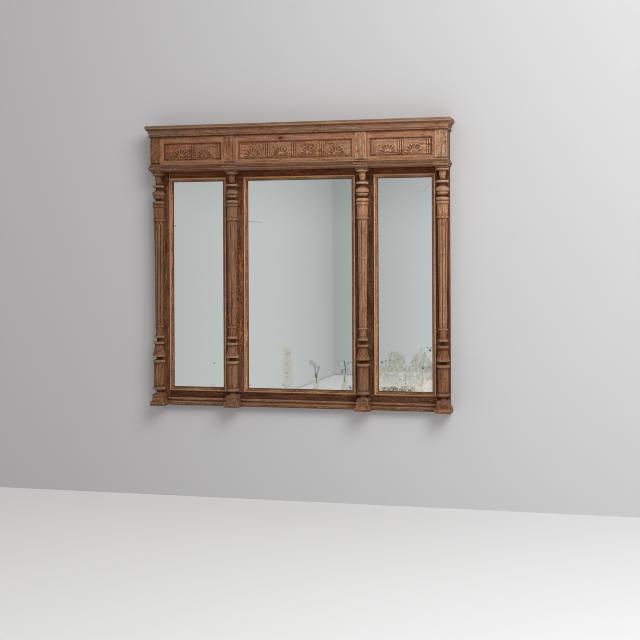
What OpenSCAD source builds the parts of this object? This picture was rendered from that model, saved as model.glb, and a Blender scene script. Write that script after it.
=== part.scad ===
// Three-light overmantel mirror in oak: four turned and fluted columns on moulded
// plinths carry a carved frieze and cornice in front of a pegged frame.
// X runs to the right, Y into the wall, Z up. The wall plane is Y = 0, the foot is Z = 0.

/* [Overall] */
// Height from the foot to the top of the cornice
total_h = 1400; // [1300:5:1500]
// Width across the outer stiles
body_w = 1490; // [1440:5:1600]
// Depth from the wall to the front of the frieze blocks
frieze_depth = 122; // [120:1:135]

/* [Frame] */
// Thickness of the stiles and rails
frame_t = 32; // [30:1:36]
// Width of each outer stile
stile_w = 66; // [60:1:80]
// Width of each mullion behind an inner column
mullion_w = 92; // [84:1:110]
// Height of the bottom rail up to its glass bead
bottom_rail_h = 72; // [66:1:90]
// Height of the top rail seen between the soffit and the glass bead
top_gap = 31; // [24:1:45]
// Thickness of the tenons
tenon_t = 10; // [8:1:12]
// Length of the tenons
tenon_l = 44; // [30:1:50]
// Gap between a tenon and its mortise, each way
joint_gap = 0.15; // [0.1:0.05:0.3]
// Radius of the oak pegs
peg_r = 4; // [3:0.5:5]

/* [Mirrors] */
// Width of each side mirror that shows
side_sight_w = 262.5; // [240:0.5:275]
// Width of the bead round each mirror
bead_w = 20; // [16:1:24]
// How far the bead stands in front of the frame
bead_proud = 6; // [4:1:8]
// Thickness of the mirror plates
glass_t = 4; // [3:0.5:5]
// Gap round each mirror plate, filled by its packing blocks
glass_gap = 5; // [4:0.5:8]
// Thickness of the backboards
backboard_t = 8; // [6:1:9]
// Thickness of the rub blocks behind the backboards
rub_t = 8; // [6:1:9]
// Gap round each backboard
board_gap = 0.3; // [0.2:0.1:0.5]
// Width of the open line at each mitre of a bead or panel frame
mitre_gap = 0.2; // [0.1:0.1:0.4]

/* [Columns] */
// Distance of the column axes behind the face of the frieze blocks
column_set = 44; // [42:1:46]
// Height of the turned foot of a column, below its grooved shaft
column_foot_h = 340; // [310:5:360]
// Height of the turned head of a column, above its grooved shaft
column_head_h = 246; // [230:2:270]
// Radius of the main rings
ring_r = 31; // [28:0.5:32]
// Radius of the shaft at its top
shaft_top_r = 23; // [21:0.5:25]
// Radius of the shaft at its foot
shaft_foot_r = 17.5; // [16:0.5:20]
// Number of flutes on the shaft
flute_count = 8; // [6:1:12]
// Radius of a flute at the top of the shaft
flute_r = 2.6; // [2:0.1:3]
// Width of the octagonal lower drum across its flats
drum_w = 49; // [44:1:54]
// Radius of the narrow necks
neck_r = 12.5; // [11:0.5:14]
// Radius of the dowels at both ends
dowel_r = 9; // [7:0.5:10]
// Radial gap round each dowel
dowel_gap = 0.1; // [0.05:0.05:0.2]

/* [Plinths and base] */
// Height of a plinth
plinth_h = 62; // [56:1:76]
// Width of a plinth at its foot
plinth_w = 74; // [72:1:80]
// Height of the base moulding
base_h = 38; // [34:1:44]
// How far the base moulding stands in front of the frame
base_proud = 10; // [8:1:12]

/* [Frieze and cornice] */
// Height of the cornice
cornice_h = 56; // [54:1:66]
// How far the cornice projects
cornice_out = 22; // [20:1:26]
// Height of the frieze
frieze_h = 136; // [132:1:150]
// Height of the architrave moulding
architrave_h = 32; // [30:1:38]
// How far the architrave moulding projects
architrave_out = 11; // [9:1:13]
// Thickness of the carcass boards
board_t = 20; // [18:1:22]
// Thickness of the soffit and dust boards
thin_t = 12; // [10:1:14]
// Width of a frieze block
block_w = 52; // [48:1:56]
// Thickness of a frieze block
block_t = 14; // [13:1:16]
// Distance from a block to the carved panel beside it, filled by a moulded frame and a sunk line
panel_frame_w = 24; // [22:1:26]
// Width of the sunk line between that frame and its carved panel
line_w = 4.5; // [3:0.5:5]
// Distance of that frame's face behind the face of the blocks
frame_step = 2; // [1:0.5:3]
// Height of the plain fillet over that frame
fillet_h = 14; // [12:1:18]
// Height of the abacus on each column
abacus_h = 10; // [8:1:14]
// Width of the abacus
abacus_w = 60; // [58:1:62]

/* [Carving] */
// Number of petals in a fan
petal_count = 7; // [5:2:9]
// Radius of a fan
fan_r = 46; // [40:1:47]
// Height of the carved relief
relief_h = 4; // [3:0.5:5]
// Radius of a reed
reed_r = 3.6; // [3:0.1:4]

/* [Hanging plates] */
// Distance of the hanging holes below the head of the mirrors
hang_drop = 25; // [20:5:200]
// Distance of the hanging holes in from the ends of the frame
hang_inset = 24; // [20:1:30]
// Radius of the hanging holes
hang_hole_r = 5; // [4:0.5:6]
// Thickness of the iron plates
plate_t = 2.5; // [2:0.5:3]

/* [Hidden] */
$fn = 48;

oak = "#96694a";
oak_light = "#a87c5a";
oak_dark = "#5a3a26";
pine = "#b99a6c";
silvered = "#c3cacb";
iron = "#4a4744";

eps = 0.01;

// how far a cut or a trimming shape reaches past the face it opens
past = 1;
half_w = body_w / 2;

// heights
cornice_z = total_h - cornice_h;
frieze_z = cornice_z - frieze_h;
soffit_z = frieze_z - architrave_h;
abacus_z = soffit_z - abacus_h;
open_z0 = bottom_rail_h;
open_z1 = soffit_z - top_gap;

// openings in the frame, each from its left to its right edge
mullion_x0 = half_w - stile_w - side_sight_w - 2 * bead_w - mullion_w;
mullion_x1 = mullion_x0 + mullion_w;
stile_x0 = half_w - stile_w;
side_open = [mullion_x1, stile_x0];
centre_open = [-mullion_x0, mullion_x0];
left_open = [-stile_x0, -mullion_x1];

// column axes
outer_x = half_w - block_w / 2;
inner_x = mullion_x0 + mullion_w / 2;

// depths, all in front of the wall
column_y = frieze_depth - column_set;
glass_y = rub_t + backboard_t + glass_t;
frieze_front = frieze_depth - block_t;
board_back = frieze_front - board_t;

// helpers: a box by its corners, and runs of a profile along X and along Y
module box(a, b) {
    translate(a) cube([b[0] - a[0], b[1] - a[1], b[2] - a[2]]);
}

module run_x(points, x0, x1) {
    translate([x0, 0, 0]) rotate([90, 0, 90]) linear_extrude(x1 - x0) polygon(points);
}

module run_y(points, y0, y1) {
    translate([0, y1, 0]) rotate([90, 0, 0]) linear_extrude(y1 - y0) polygon(points);
}

module mirrored(right) {
    if (right) children();
    else mirror([1, 0, 0]) children();
}

// points of a quarter arc from angle a0 to a1 about a centre
function arc(c, r, a0, a1, n = 5) =
    [for (i = [0 : n]) let (a = a0 + (a1 - a0) * i / n) [c[0] + r * cos(a), c[1] + r * sin(a)]];

// a right-hand outline and its mirror image, as one closed outline
function both_sides(points) =
    concat(points, [for (i = [len(points) - 1 : -1 : 0]) [-points[i][0], points[i][1]]]);

// frame: two outer stiles, two mullions, two rails
tenon_y = -frame_t / 2;
top_tenon_h = (cornice_z - open_z1) * 0.6;
top_tenon_z = open_z1 + (cornice_z - open_z1) * 0.2;
bottom_tenon_h = bottom_rail_h * 0.6;
bottom_tenon_z = bottom_rail_h * 0.2;
mullion_tenon_l = min(tenon_l, bottom_rail_h * 0.5);
mullion_tenon_w = mullion_w * 0.6;
peg_skin = 6;
peg_l = frame_t - peg_skin;
mortise_l = tenon_l + joint_gap;
mullion_mortise_l = mullion_tenon_l + joint_gap;

module tenon_x(x0, x1, z, h, gap) {
    half_t = tenon_t / 2 + gap;
    box([x0, tenon_y - half_t, z - gap], [x1, tenon_y + half_t, z + h + gap]);
}

module tenon_z(x, w, z0, z1, gap) {
    half_t = tenon_t / 2 + gap;
    box([x - w / 2 - gap, tenon_y - half_t, z0], [x + w / 2 + gap, tenon_y + half_t, z1]);
}

// peg centres, as [x, z]
stile_peg_x = stile_x0 + tenon_l * 0.5;
stile_peg_spots = [for (s = [0.25, 0.75]) each [
    [stile_peg_x, top_tenon_z + top_tenon_h * s],
    [stile_peg_x, bottom_tenon_z + bottom_tenon_h * s]
]];
mullion_peg_spots = [for (s = [-0.25, 0.25]) each [
    [inner_x + mullion_tenon_w * s, open_z1 + mullion_tenon_l / 2],
    [inner_x + mullion_tenon_w * s, open_z0 - mullion_tenon_l / 2]
]];

module pegs(spots, r, l) {
    for (p = spots) translate([p[0], 0, p[1]]) rotate([90, 0, 0]) cylinder(r = r, h = l);
}

module peg_holes(spots) {
    translate([0, eps, 0]) pegs(spots, peg_r + joint_gap / 2, peg_l + 2 * eps);
}

module stile() {
    difference() {
        box([stile_x0, -frame_t, 0], [half_w, 0, cornice_z]);
        tenon_x(stile_x0 - eps, stile_x0 + mortise_l, top_tenon_z, top_tenon_h, joint_gap);
        tenon_x(stile_x0 - eps, stile_x0 + mortise_l, bottom_tenon_z, bottom_tenon_h, joint_gap);
        peg_holes(stile_peg_spots);
        hanging_recess();
    }
}

module stile_left() { color(oak_dark) mirrored(false) stile(); }
module stile_right() { color(oak_dark) stile(); }

module mullion() {
    difference() {
        union() {
            box([mullion_x0, -frame_t, open_z0], [mullion_x1, 0, open_z1]);
            tenon_z(inner_x, mullion_tenon_w, open_z0 - mullion_tenon_l, open_z1 + mullion_tenon_l, 0);
        }
        peg_holes(mullion_peg_spots);
    }
}

module mullion_left() { color(oak_dark) mirrored(false) mullion(); }
module mullion_right() { color(oak_dark) mullion(); }

module rail(z0, z1, tenon_z0, tenon_h, mortise_z0, mortise_z1) {
    difference() {
        union() {
            box([-stile_x0, -frame_t, z0], [stile_x0, 0, z1]);
            tenon_x(-stile_x0 - tenon_l, stile_x0 + tenon_l, tenon_z0, tenon_h, 0);
        }
        for (s = [-1, 1]) tenon_z(s * inner_x, mullion_tenon_w, mortise_z0, mortise_z1, joint_gap);
        for (right = [true, false]) mirrored(right) {
            peg_holes(stile_peg_spots);
            peg_holes(mullion_peg_spots);
        }
    }
}

module top_rail() {
    color(oak_dark)
        rail(open_z1, cornice_z, top_tenon_z, top_tenon_h, open_z1 - eps, open_z1 + mullion_mortise_l);
}

module bottom_rail() {
    color(oak_dark)
        rail(0, open_z0, bottom_tenon_z, bottom_tenon_h, open_z0 - mullion_mortise_l, open_z0 + eps);
}

module frame_pegs() {
    color(oak_light) for (right = [true, false]) mirrored(right) {
        pegs(stile_peg_spots, peg_r, peg_l);
        pegs(mullion_peg_spots, peg_r, peg_l);
    }
}

// mirrors, their beads, packing and backboards
module mirror_plate(open) {
    color(silvered)
        box([open[0] + glass_gap, -glass_y, open_z0 + glass_gap],
            [open[1] - glass_gap, -glass_y + glass_t, open_z1 - glass_gap]);
}

module mirror_left() { mirror_plate(left_open); }
module mirror_centre() { mirror_plate(centre_open); }
module mirror_right() { mirror_plate(side_open); }

// a strip along X whose inner side faces up, mitred at both ends
module mitred_strip(points, length, width) {
    open_line = mitre_gap / 2 / cos(45);
    intersection() {
        run_x(points, 0, length);
        run_y([[open_line, 0], [length - open_line, 0],
            [length - width - open_line, width], [width + open_line, width]], -frieze_depth * 2, 0);
    }
}

module mitred_frame(points, width, x0, x1, z0, z1) {
    translate([x0, 0, z0]) mitred_strip(points, x1 - x0, width);
    translate([x1, 0, z0]) rotate([0, -90, 0]) mitred_strip(points, z1 - z0, width);
    translate([x1, 0, z1]) rotate([0, 180, 0]) mitred_strip(points, x1 - x0, width);
    translate([x0, 0, z1]) rotate([0, 90, 0]) mitred_strip(points, z1 - z0, width);
}

// section of a bead as [depth, width]: a round nose, a quirk, a slope and a thin lip
bead_nose_r = bead_w * 0.2;
bead_crest = frame_t + bead_proud;
bead_depth = bead_crest - glass_y;
bead_quirk_y = -bead_crest + bead_nose_r * 1.5;
bead_section = concat(
    [[-glass_y, 0]],
    arc([-bead_crest + bead_nose_r, bead_nose_r], bead_nose_r, 270, 90, 8),
    [
        [bead_quirk_y, bead_w * 0.42],
        [bead_quirk_y, bead_w * 0.48],
        [-bead_crest + bead_nose_r * 0.8, bead_w * 0.52],
        [-glass_y - bead_depth * 0.3, bead_w * 0.86],
        [-glass_y - bead_depth * 0.17, bead_w * 0.86],
        [-glass_y - bead_depth * 0.11, bead_w],
        [-glass_y, bead_w]
    ]
);

module bead(open) { color(oak) mitred_frame(bead_section, bead_w, open[0], open[1], open_z0, open_z1); }
module bead_left() { bead(left_open); }
module bead_centre() { bead(centre_open); }
module bead_right() { bead(side_open); }

packing_l = 40;
rub_l = 60;

// blocks stand round an opening: a pair on each side and a pair on the head and foot
module edge_blocks(open, y, t, w, l) {
    for (s = [0.15, 0.85]) {
        z = open_z0 + (open_z1 - open_z0) * s;
        x = open[0] + (open[1] - open[0]) * s;
        box([open[0], y, z - l / 2], [open[0] + w, y + t, z + l / 2]);
        box([open[1] - w, y, z - l / 2], [open[1], y + t, z + l / 2]);
        box([x - l / 2, y, open_z0], [x + l / 2, y + t, open_z0 + w]);
        box([x - l / 2, y, open_z1 - w], [x + l / 2, y + t, open_z1]);
    }
}

module glass_packing_blocks() {
    color(pine) for (open = [left_open, centre_open, side_open])
        edge_blocks(open, -glass_y, glass_t, glass_gap, packing_l);
}

module backboard(open) {
    color(pine)
        box([open[0] + board_gap, -glass_y + glass_t, open_z0 + board_gap],
            [open[1] - board_gap, -rub_t, open_z1 - board_gap]);
}

module backboard_left() { backboard(left_open); }
module backboard_centre() { backboard(centre_open); }
module backboard_right() { backboard(side_open); }

module backboard_rub_blocks() {
    color(pine) for (open = [left_open, centre_open, side_open])
        edge_blocks(open, -rub_t, rub_t, rub_t, rub_l);
}

// dowels of the columns and their bores, which end a little deeper
dowel_foot_l = 25;
dowel_top_l = thin_t - 2;
bore_r = dowel_r + dowel_gap;
bore_end = 0.3;

// columns: heights in hundredths of the foot, up from the plinth, and of the head, down from the abacus
function low(p) = plinth_h + column_foot_h * p / 100;
function high(p) = abacus_z - column_head_h * p / 100;

small_r = ring_r * 0.53;
band_r = ring_r * 0.87;
disc_r = ring_r * 0.96;
drum_z0 = low(9.9);
drum_z1 = low(44.2);
bell_z0 = low(54.4);
bell_z1 = low(72.1);
shaft_z0 = low(100);
shaft_z1 = high(100);
bell_foot_w = ring_r * 1.91;
bell_top_w = ring_r * 1.24;

// how far the round necks stand in from the flats of the octagonal parts
oct_step = 1.5;
drum_neck_r = drum_w / 2 - oct_step;
bell_neck_r = bell_top_w / 2 - oct_step;
head_drum_r = shaft_top_r * 1.1;

// how far a turned part reaches into the octagonal one beside it
lap = 2;

// the outer points of a half-round ring of a turned outline
function ring(z0, z1, r) = let (h = z1 - z0) [
    [r - h * 0.3, z0], [r - h * 0.09, z0 + h * 0.13], [r, z0 + h * 0.38],
    [r, z0 + h * 0.62], [r - h * 0.09, z0 + h * 0.87], [r - h * 0.3, z1]
];

// turned outlines: the base below the octagonal drum, the waist below the bell, and all above it
base_outline = concat(
    [[0, plinth_h - dowel_foot_l], [dowel_r, plinth_h - dowel_foot_l], [dowel_r, plinth_h]],
    [[neck_r * 1.25, plinth_h], [neck_r * 1.1, low(2)], [neck_r * 1.3, low(3.8)], [ring_r * 0.78, low(5.3)]],
    ring(low(5.6), low(9.6), ring_r),
    [[drum_neck_r, low(9.6)], [drum_neck_r, drum_z0 + lap], [0, drum_z0 + lap]]
);
waist_outline = concat(
    [[0, drum_z1 - lap], [drum_neck_r, drum_z1 - lap], [drum_neck_r, low(44.8)]],
    ring(low(44.8), low(49.3), ring_r),
    [[neck_r * 1.1, low(49.8)], [neck_r * 1.1, low(53.6)], [neck_r * 1.4, bell_z0]],
    [[neck_r * 1.4, bell_z0 + lap], [0, bell_z0 + lap]]
);
head_outline = concat(
    [[shaft_top_r, high(97.2)]],
    ring(high(97), high(94), disc_r),
    [[head_drum_r, high(93.7)], [head_drum_r, high(70.5)]],
    ring(high(70), high(63.8), disc_r),
    [[ring_r * 0.84, high(63.6)], [ring_r * 0.84, high(62.4)]],
    [[ring_r * 0.9, high(62.2)], [disc_r, high(60.8)], [disc_r, high(58.8)]],
    [[ring_r * 0.8, high(56.8)], [neck_r * 1.25, high(55.4)]],
    [[neck_r, high(54.8)], [neck_r, high(52.8)], [ring_r * 0.7, high(52.4)]],
    arc([ring_r * 0.7, high(49.8)], ring_r * 0.13, -70, 70, 4),
    [[ring_r * 0.68, high(46.8)], [ring_r * 0.68, high(45.4)], [ring_r * 0.92, high(44.8)]],
    arc([ring_r * 0.74, high(42.4)], ring_r * 0.29, -30, 30, 3),
    [[ring_r * 0.9, high(38.4)], [ring_r * 0.76, high(36.4)], [ring_r * 0.56, high(35)]],
    [[neck_r * 0.95, high(34.2)], [neck_r * 0.92, high(31.5)], [neck_r, high(29.4)]],
    ring(high(28.7), high(24.2), disc_r),
    [[small_r * 0.86, high(23.6)], [small_r * 0.8, high(19.5)], [small_r * 0.86, high(14.8)]],
    [[small_r, high(14)], [small_r * 0.98, high(9)], [small_r * 1.15, high(5.2)]],
    [[ring_r * 0.84, high(4)], [disc_r, high(2.9)], [disc_r, high(1.1)], [ring_r * 0.86, abacus_z]],
    [[dowel_r, abacus_z], [dowel_r, soffit_z + dowel_top_l], [0, soffit_z + dowel_top_l]]
);
upper_outline = concat(
    [[0, bell_z1 - lap], [bell_neck_r, bell_z1 - lap], [bell_neck_r, low(72.4)]],
    ring(low(72.4), low(76.2), band_r),
    [[neck_r * 0.9, low(76.6)], [neck_r * 0.9, low(81.2)]],
    [[ring_r * 0.72, low(81.7)], [ring_r * 0.83, low(82.6)], [ring_r * 0.83, low(83.6)]],
    [[ring_r * 0.7, low(84.9)], [small_r * 1.05, low(86.7)], [small_r * 0.98, low(92)]],
    [[small_r * 1.04, low(97.5)]],
    ring(low(97.8), low(99.8), ring_r * 0.73),
    [[shaft_foot_r, shaft_z0], [shaft_top_r, shaft_z1]],
    head_outline
);

// a flute follows the taper of the shaft and stops short of both ends with a round end;
// the centre of its section lies below the surface by a share of its radius
flute_sink = 0.12;
flute_stop = 12;
flute_z0 = shaft_z0 + flute_stop;
flute_z1 = shaft_z1 - flute_stop;
flute_foot_r = flute_r * shaft_foot_r / shaft_top_r;

function shaft_r(z) = shaft_foot_r + (shaft_top_r - shaft_foot_r) * (z - shaft_z0) / (shaft_z1 - shaft_z0);

module flute() {
    r0 = shaft_r(flute_z0) - flute_foot_r * flute_sink;
    r1 = shaft_r(flute_z1) - flute_r * flute_sink;
    length = flute_z1 - flute_z0;
    lean = atan((r1 - r0) / length);
    translate([r0, 0, flute_z0]) rotate([0, lean, 0]) {
        $fn = 16;
        cylinder(r1 = flute_foot_r, r2 = flute_r, h = length / cos(lean));
        sphere(r = flute_foot_r);
        translate([0, 0, length / cos(lean)]) sphere(r = flute_r);
    }
}

// the octagonal bell: four crossing extrusions of one flared section
bell_lip_z = bell_z0 + (bell_z1 - bell_z0) * 0.13;
bell_side = concat(
    [[bell_foot_w / 2, bell_z0]],
    [for (t = [0 : 1 / 6 : 1.01]) [
        bell_foot_w / 2 - (bell_foot_w - bell_top_w) / 2 * (1 - pow(max(1 - t, 0), 1.6)),
        bell_lip_z + (bell_z1 - bell_lip_z) * t
    ]]
);
bell_section = both_sides(bell_side);

module bell() {
    intersection_for (a = [0, 45, 90, 135])
        rotate([0, 0, a]) run_y(bell_section, -bell_foot_w, bell_foot_w);
}

module column() {
    octagon_r = drum_w / 2 / cos(22.5);
    rotate_extrude() polygon(base_outline);
    translate([0, 0, drum_z0]) rotate([0, 0, 22.5]) cylinder(r = octagon_r, h = drum_z1 - drum_z0, $fn = 8);
    rotate_extrude() polygon(waist_outline);
    bell();
    difference() {
        rotate([0, 0, 180 / flute_count - 90]) rotate_extrude() polygon(upper_outline);
        for (i = [0 : flute_count - 1]) rotate([0, 0, i * 360 / flute_count - 90]) flute();
    }
}

module at_column(x) { translate([x, -column_y, 0]) children(); }

module column_outer_left() { color(oak) at_column(-outer_x) column(); }
module column_inner_left() { color(oak) at_column(-inner_x) column(); }
module column_inner_right() { color(oak_light) at_column(inner_x) column(); }
module column_outer_right() { color(oak_light) at_column(outer_x) column(); }

// plinths: moulded on three sides, flat at the back against the frame
plinth_half = plinth_w / 2;

// its side, as hundredths of its width in from the foot's edge and of its height
plinth_shape = [
    [0, 0], [0, 21], [1.6, 24], [0.6, 28], [2, 33], [7.4, 41], [11.5, 45], [12.6, 47], [13.6, 71],
    [16.8, 73], [16.8, 77], [13, 79.5], [12.4, 85], [14, 89.5], [23, 100]
];
plinth_steps = [for (p = plinth_shape) [plinth_half - plinth_w * p[0] / 100, plinth_h * p[1] / 100]];
plinth_both = both_sides(plinth_steps);
plinth_back = column_y - frame_t;

module plinth_solid(back) {
    intersection() {
        run_y(plinth_both, -plinth_w, back);
        run_x(concat([for (p = plinth_steps) [-p[0], p[1]]], [[back, plinth_h], [back, 0]]),
            -plinth_w, plinth_w);
    }
}

module plinth() {
    difference() {
        plinth_solid(plinth_back);
        translate([0, 0, plinth_h - dowel_foot_l - bore_end])
            cylinder(r = bore_r, h = dowel_foot_l + bore_end + past);
    }
}

module plinth_outer_left() { color(oak) at_column(-outer_x) plinth(); }
module plinth_inner_left() { color(oak) at_column(-inner_x) plinth(); }
module plinth_inner_right() { color(oak) at_column(inner_x) plinth(); }
module plinth_outer_right() { color(oak_light) at_column(outer_x) plinth(); }

// base moulding between the plinths, coped to them, and its returns on the ends
base_section = [
    [-frame_t, 0], [-frame_t - base_proud, 0], [-frame_t - base_proud, base_h * 0.48],
    [-frame_t - base_proud * 0.55, base_h * 0.56], [-frame_t - base_proud * 0.55, base_h * 0.7],
    [-frame_t - base_proud * 0.8, base_h * 0.74], [-frame_t - base_proud * 0.8, base_h * 0.9],
    [-frame_t - base_proud * 0.3, base_h], [-frame_t, base_h]
];

module base_run(x0, x1) {
    color(oak_dark) difference() {
        run_x(base_section, x0, x1);
        at_column(x0) plinth_solid(plinth_back + past);
        at_column(x1) plinth_solid(plinth_back + past);
    }
}

module base_moulding_left() { base_run(-outer_x, -inner_x); }
module base_moulding_centre() { base_run(-inner_x, inner_x); }
module base_moulding_right() { base_run(inner_x, outer_x); }

// the return carries the outer plinth's side back to the wall, up to the top of its die
return_h = plinth_h * 0.7;

module base_return() {
    side = [for (p = plinth_steps) [outer_x + p[0], p[1]]];
    color(oak) intersection() {
        run_y(concat(side, [[half_w - past, plinth_h], [half_w - past, 0]]), -frame_t, 0);
        box([half_w, -frame_t, 0], [half_w + plinth_w, 0, return_h]);
    }
}

module base_return_left() { mirrored(false) base_return(); }
module base_return_right() { base_return(); }

// abacus: a square block bored for the dowel, whose corbelled front laps over the architrave
cap_z = soffit_z + architrave_h * 0.5;
cap_rise = cap_z - abacus_z;
cap_proud = 1;
cap_lap = 6;
cap_out = frieze_depth + architrave_out + cap_proud;
cap_seat = frieze_depth - cap_lap;
cap_top_w = abacus_w * 1.13;
cap_sides = both_sides([
    [abacus_w * 0.47, abacus_z], [abacus_w * 0.47, abacus_z + cap_rise * 0.12],
    [cap_top_w / 2, abacus_z + cap_rise * 0.86], [cap_top_w / 2, cap_z]
]);
cap_profile = [
    [column_y - abacus_w / 2, abacus_z], [column_y - abacus_w / 2, soffit_z], [cap_seat, soffit_z],
    [cap_seat, cap_z], [cap_out, cap_z], [cap_out, abacus_z + cap_rise * 0.86],
    [frieze_depth, abacus_z + cap_rise * 0.5], [column_y + abacus_w / 2, abacus_z + cap_rise * 0.12],
    [column_y + abacus_w / 2, abacus_z]
];

// the solid of a cap in its place, cut off at a distance to the right of the column
module cap(x, right) {
    intersection() {
        run_x([for (p = cap_profile) [-p[0], p[1]]], x - abacus_w, x + right);
        translate([x, 0, 0]) run_y(cap_sides, -cap_out - past, 0);
    }
}

module abacus(x, right) {
    difference() {
        cap(x, right);
        at_column(x) translate([0, 0, abacus_z - past]) cylinder(r = bore_r, h = abacus_h + 2 * past);
    }
}

// an outer cap ends flush with the side of the frieze
module inner_abacus() { abacus(inner_x, abacus_w); }
module outer_abacus() { abacus(outer_x, block_w / 2); }

module abacus_outer_left() { color(oak) mirrored(false) outer_abacus(); }
module abacus_inner_left() { color(oak) mirrored(false) inner_abacus(); }
module abacus_inner_right() { color(oak) inner_abacus(); }
module abacus_outer_right() { color(oak) outer_abacus(); }

// frieze carcass: a soffit board, a front and two end boards that stand on it, and glue blocks
soffit_top = soffit_z + thin_t;

module soffit_board() {
    color(oak_dark) difference() {
        box([-half_w, -frieze_front, soffit_z], [half_w, -frame_t, soffit_top]);
        for (x = [-outer_x, -inner_x, inner_x, outer_x]) at_column(x)
            translate([0, 0, soffit_z - past]) cylinder(r = bore_r, h = past + dowel_top_l + bore_end);
    }
}

module frieze_board() {
    color(oak) box([-half_w, -frieze_front, soffit_top], [half_w, -board_back, cornice_z]);
}

module frieze_end() {
    box([half_w - board_t, -board_back, soffit_top], [half_w, -frame_t, cornice_z]);
}

module frieze_end_left() { color(oak) mirrored(false) frieze_end(); }
module frieze_end_right() { color(oak) frieze_end(); }

glue_w = 22;
glue_length = 90;
glue_count = 6;

// triangular blocks: a row along the foot of the front board, and one upright at each end
module frieze_glue_blocks() {
    inside = half_w - board_t;
    step = (2 * inside - glue_length) / (glue_count - 1);
    color(pine) {
        for (i = [0 : glue_count - 1]) translate([-inside + i * step, -board_back, soffit_top])
            run_x([[0, 0], [glue_w, 0], [0, glue_w]], 0, glue_length);
        for (right = [true, false]) mirrored(right)
            translate([inside, -board_back, soffit_top + glue_w])
                linear_extrude(glue_length) polygon([[0, 0], [-glue_w, 0], [0, glue_w]]);
    }
}

// frieze blocks over the columns, undercut at the foot
block_foot = 6;
block_under = 5;
block_bevel = 2;

module frieze_block(x) {
    front = frieze_depth;
    color(oak_light) run_x([
        [-frieze_front, frieze_z], [-front + block_under, frieze_z],
        [-front + block_under, frieze_z + block_foot], [-front, frieze_z + block_foot + block_bevel],
        [-front, cornice_z], [-frieze_front, cornice_z]
    ], x - block_w / 2, x + block_w / 2);
}

module frieze_block_outer_left() { frieze_block(-outer_x); }
module frieze_block_inner_left() { frieze_block(-inner_x); }
module frieze_block_inner_right() { frieze_block(inner_x); }
module frieze_block_outer_right() { frieze_block(outer_x); }

// frame of each carved panel: four mitred strips and a plain fillet above them
frame_proud = block_t - frame_step;
frame_face = frieze_front + frame_proud;
strip_w = panel_frame_w - line_w;
cove_r = frame_proud / 3;
panel_section = concat(
    [[-frieze_front, 0], [-frame_face, 0], [-frame_face, strip_w * 0.62]],
    [[-frame_face + frame_proud * 0.15, strip_w * 0.66]],
    arc([-frame_face + frame_proud * 0.42, strip_w * 0.7], cove_r, 180, 90, 4),
    [[-frame_face + frame_proud * 0.7, strip_w], [-frieze_front, strip_w]]
);
frame_top = cornice_z - fillet_h;
right_bay = [inner_x + block_w / 2, outer_x - block_w / 2];
centre_bay = [-inner_x + block_w / 2, inner_x - block_w / 2];
left_bay = [-right_bay[1], -right_bay[0]];

module panel_frame(bay) {
    color(oak) {
        mitred_frame(panel_section, strip_w, bay[0], bay[1], frieze_z, frame_top);
        box([bay[0], -frame_face + frame_step, frame_top], [bay[1], -frieze_front, cornice_z]);
    }
}

module panel_frame_left() { panel_frame(left_bay); }
module panel_frame_centre() { panel_frame(centre_bay); }
module panel_frame_right() { panel_frame(right_bay); }

// carved panels: half-round fans of gouged petals between groups of three reeds
ground_t = 4;
panel_z0 = frieze_z + panel_frame_w;
panel_z1 = frame_top - panel_frame_w;
fan_foot = 10;
fan_z = panel_z0 + fan_foot;
reed_step = reed_r * 2.3;
reed_margin = 2;
reed_z0 = panel_z0 + reed_margin;
reed_z1 = panel_z1 - reed_margin;
gouge_r = fan_r * PI / petal_count * 0.38;
gouge_from = fan_r * 0.3;
gouge_to = fan_r * 0.8;
fan_pitch = 2 * fan_r + 3 * reed_step;

module gouge() {
    translate([0, 0, gouge_from]) cylinder(r1 = gouge_r * 0.1, r2 = gouge_r, h = gouge_to - gouge_from);
    translate([0, 0, gouge_to]) sphere(r = gouge_r);
}

module fan() {
    translate([0, -frieze_front - ground_t, fan_z]) difference() {
        intersection() {
            rotate([90, 0, 0]) cylinder(r = fan_r, h = relief_h);
            box([-fan_r - past, -relief_h - past, 0], [fan_r + past, past, fan_r + past]);
        }
        for (i = [0 : petal_count - 1])
            translate([0, -relief_h - gouge_r * 0.35, 0])
                rotate([0, -90 + (i + 0.5) * 180 / petal_count, 0]) gouge();
        translate([0, -relief_h * 1.6, 0]) sphere(r = fan_r * 0.18);
    }
}

module reeds(count) {
    for (i = [0 : count - 1])
        translate([(i - (count - 1) / 2) * reed_step, -frieze_front - ground_t, reed_z0])
            cylinder(r = reed_r, h = reed_z1 - reed_z0);
}

// as many fans as the bay holds, with reeds between them and, in a side bay, at its ends
module carved_panel(bay, end_reeds) {
    x0 = bay[0] + panel_frame_w;
    x1 = bay[1] - panel_frame_w;
    inset = end_reeds ? reed_step * 2.2 : 0;
    fans = floor((x1 - x0 - 2 * inset) / fan_pitch);
    pitch = (x1 - x0 - 2 * inset) / fans;
    color(oak_light) union() {
        box([x0, -frieze_front - ground_t, panel_z0], [x1, -frieze_front, panel_z1]);
        for (i = [0 : fans - 1]) translate([x0 + inset + (i + 0.5) * pitch, 0, 0]) fan();
        for (i = [1 : fans - 1]) translate([x0 + inset + i * pitch, 0, 0]) reeds(3);
        if (end_reeds) for (x = [x0 + inset / 2, x1 - inset / 2]) translate([x, 0, 0]) reeds(2);
    }
}

module carved_panel_left() { carved_panel(left_bay, true); }
module carved_panel_centre() { carved_panel(centre_bay, false); }
module carved_panel_right() { carved_panel(right_bay, true); }

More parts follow.
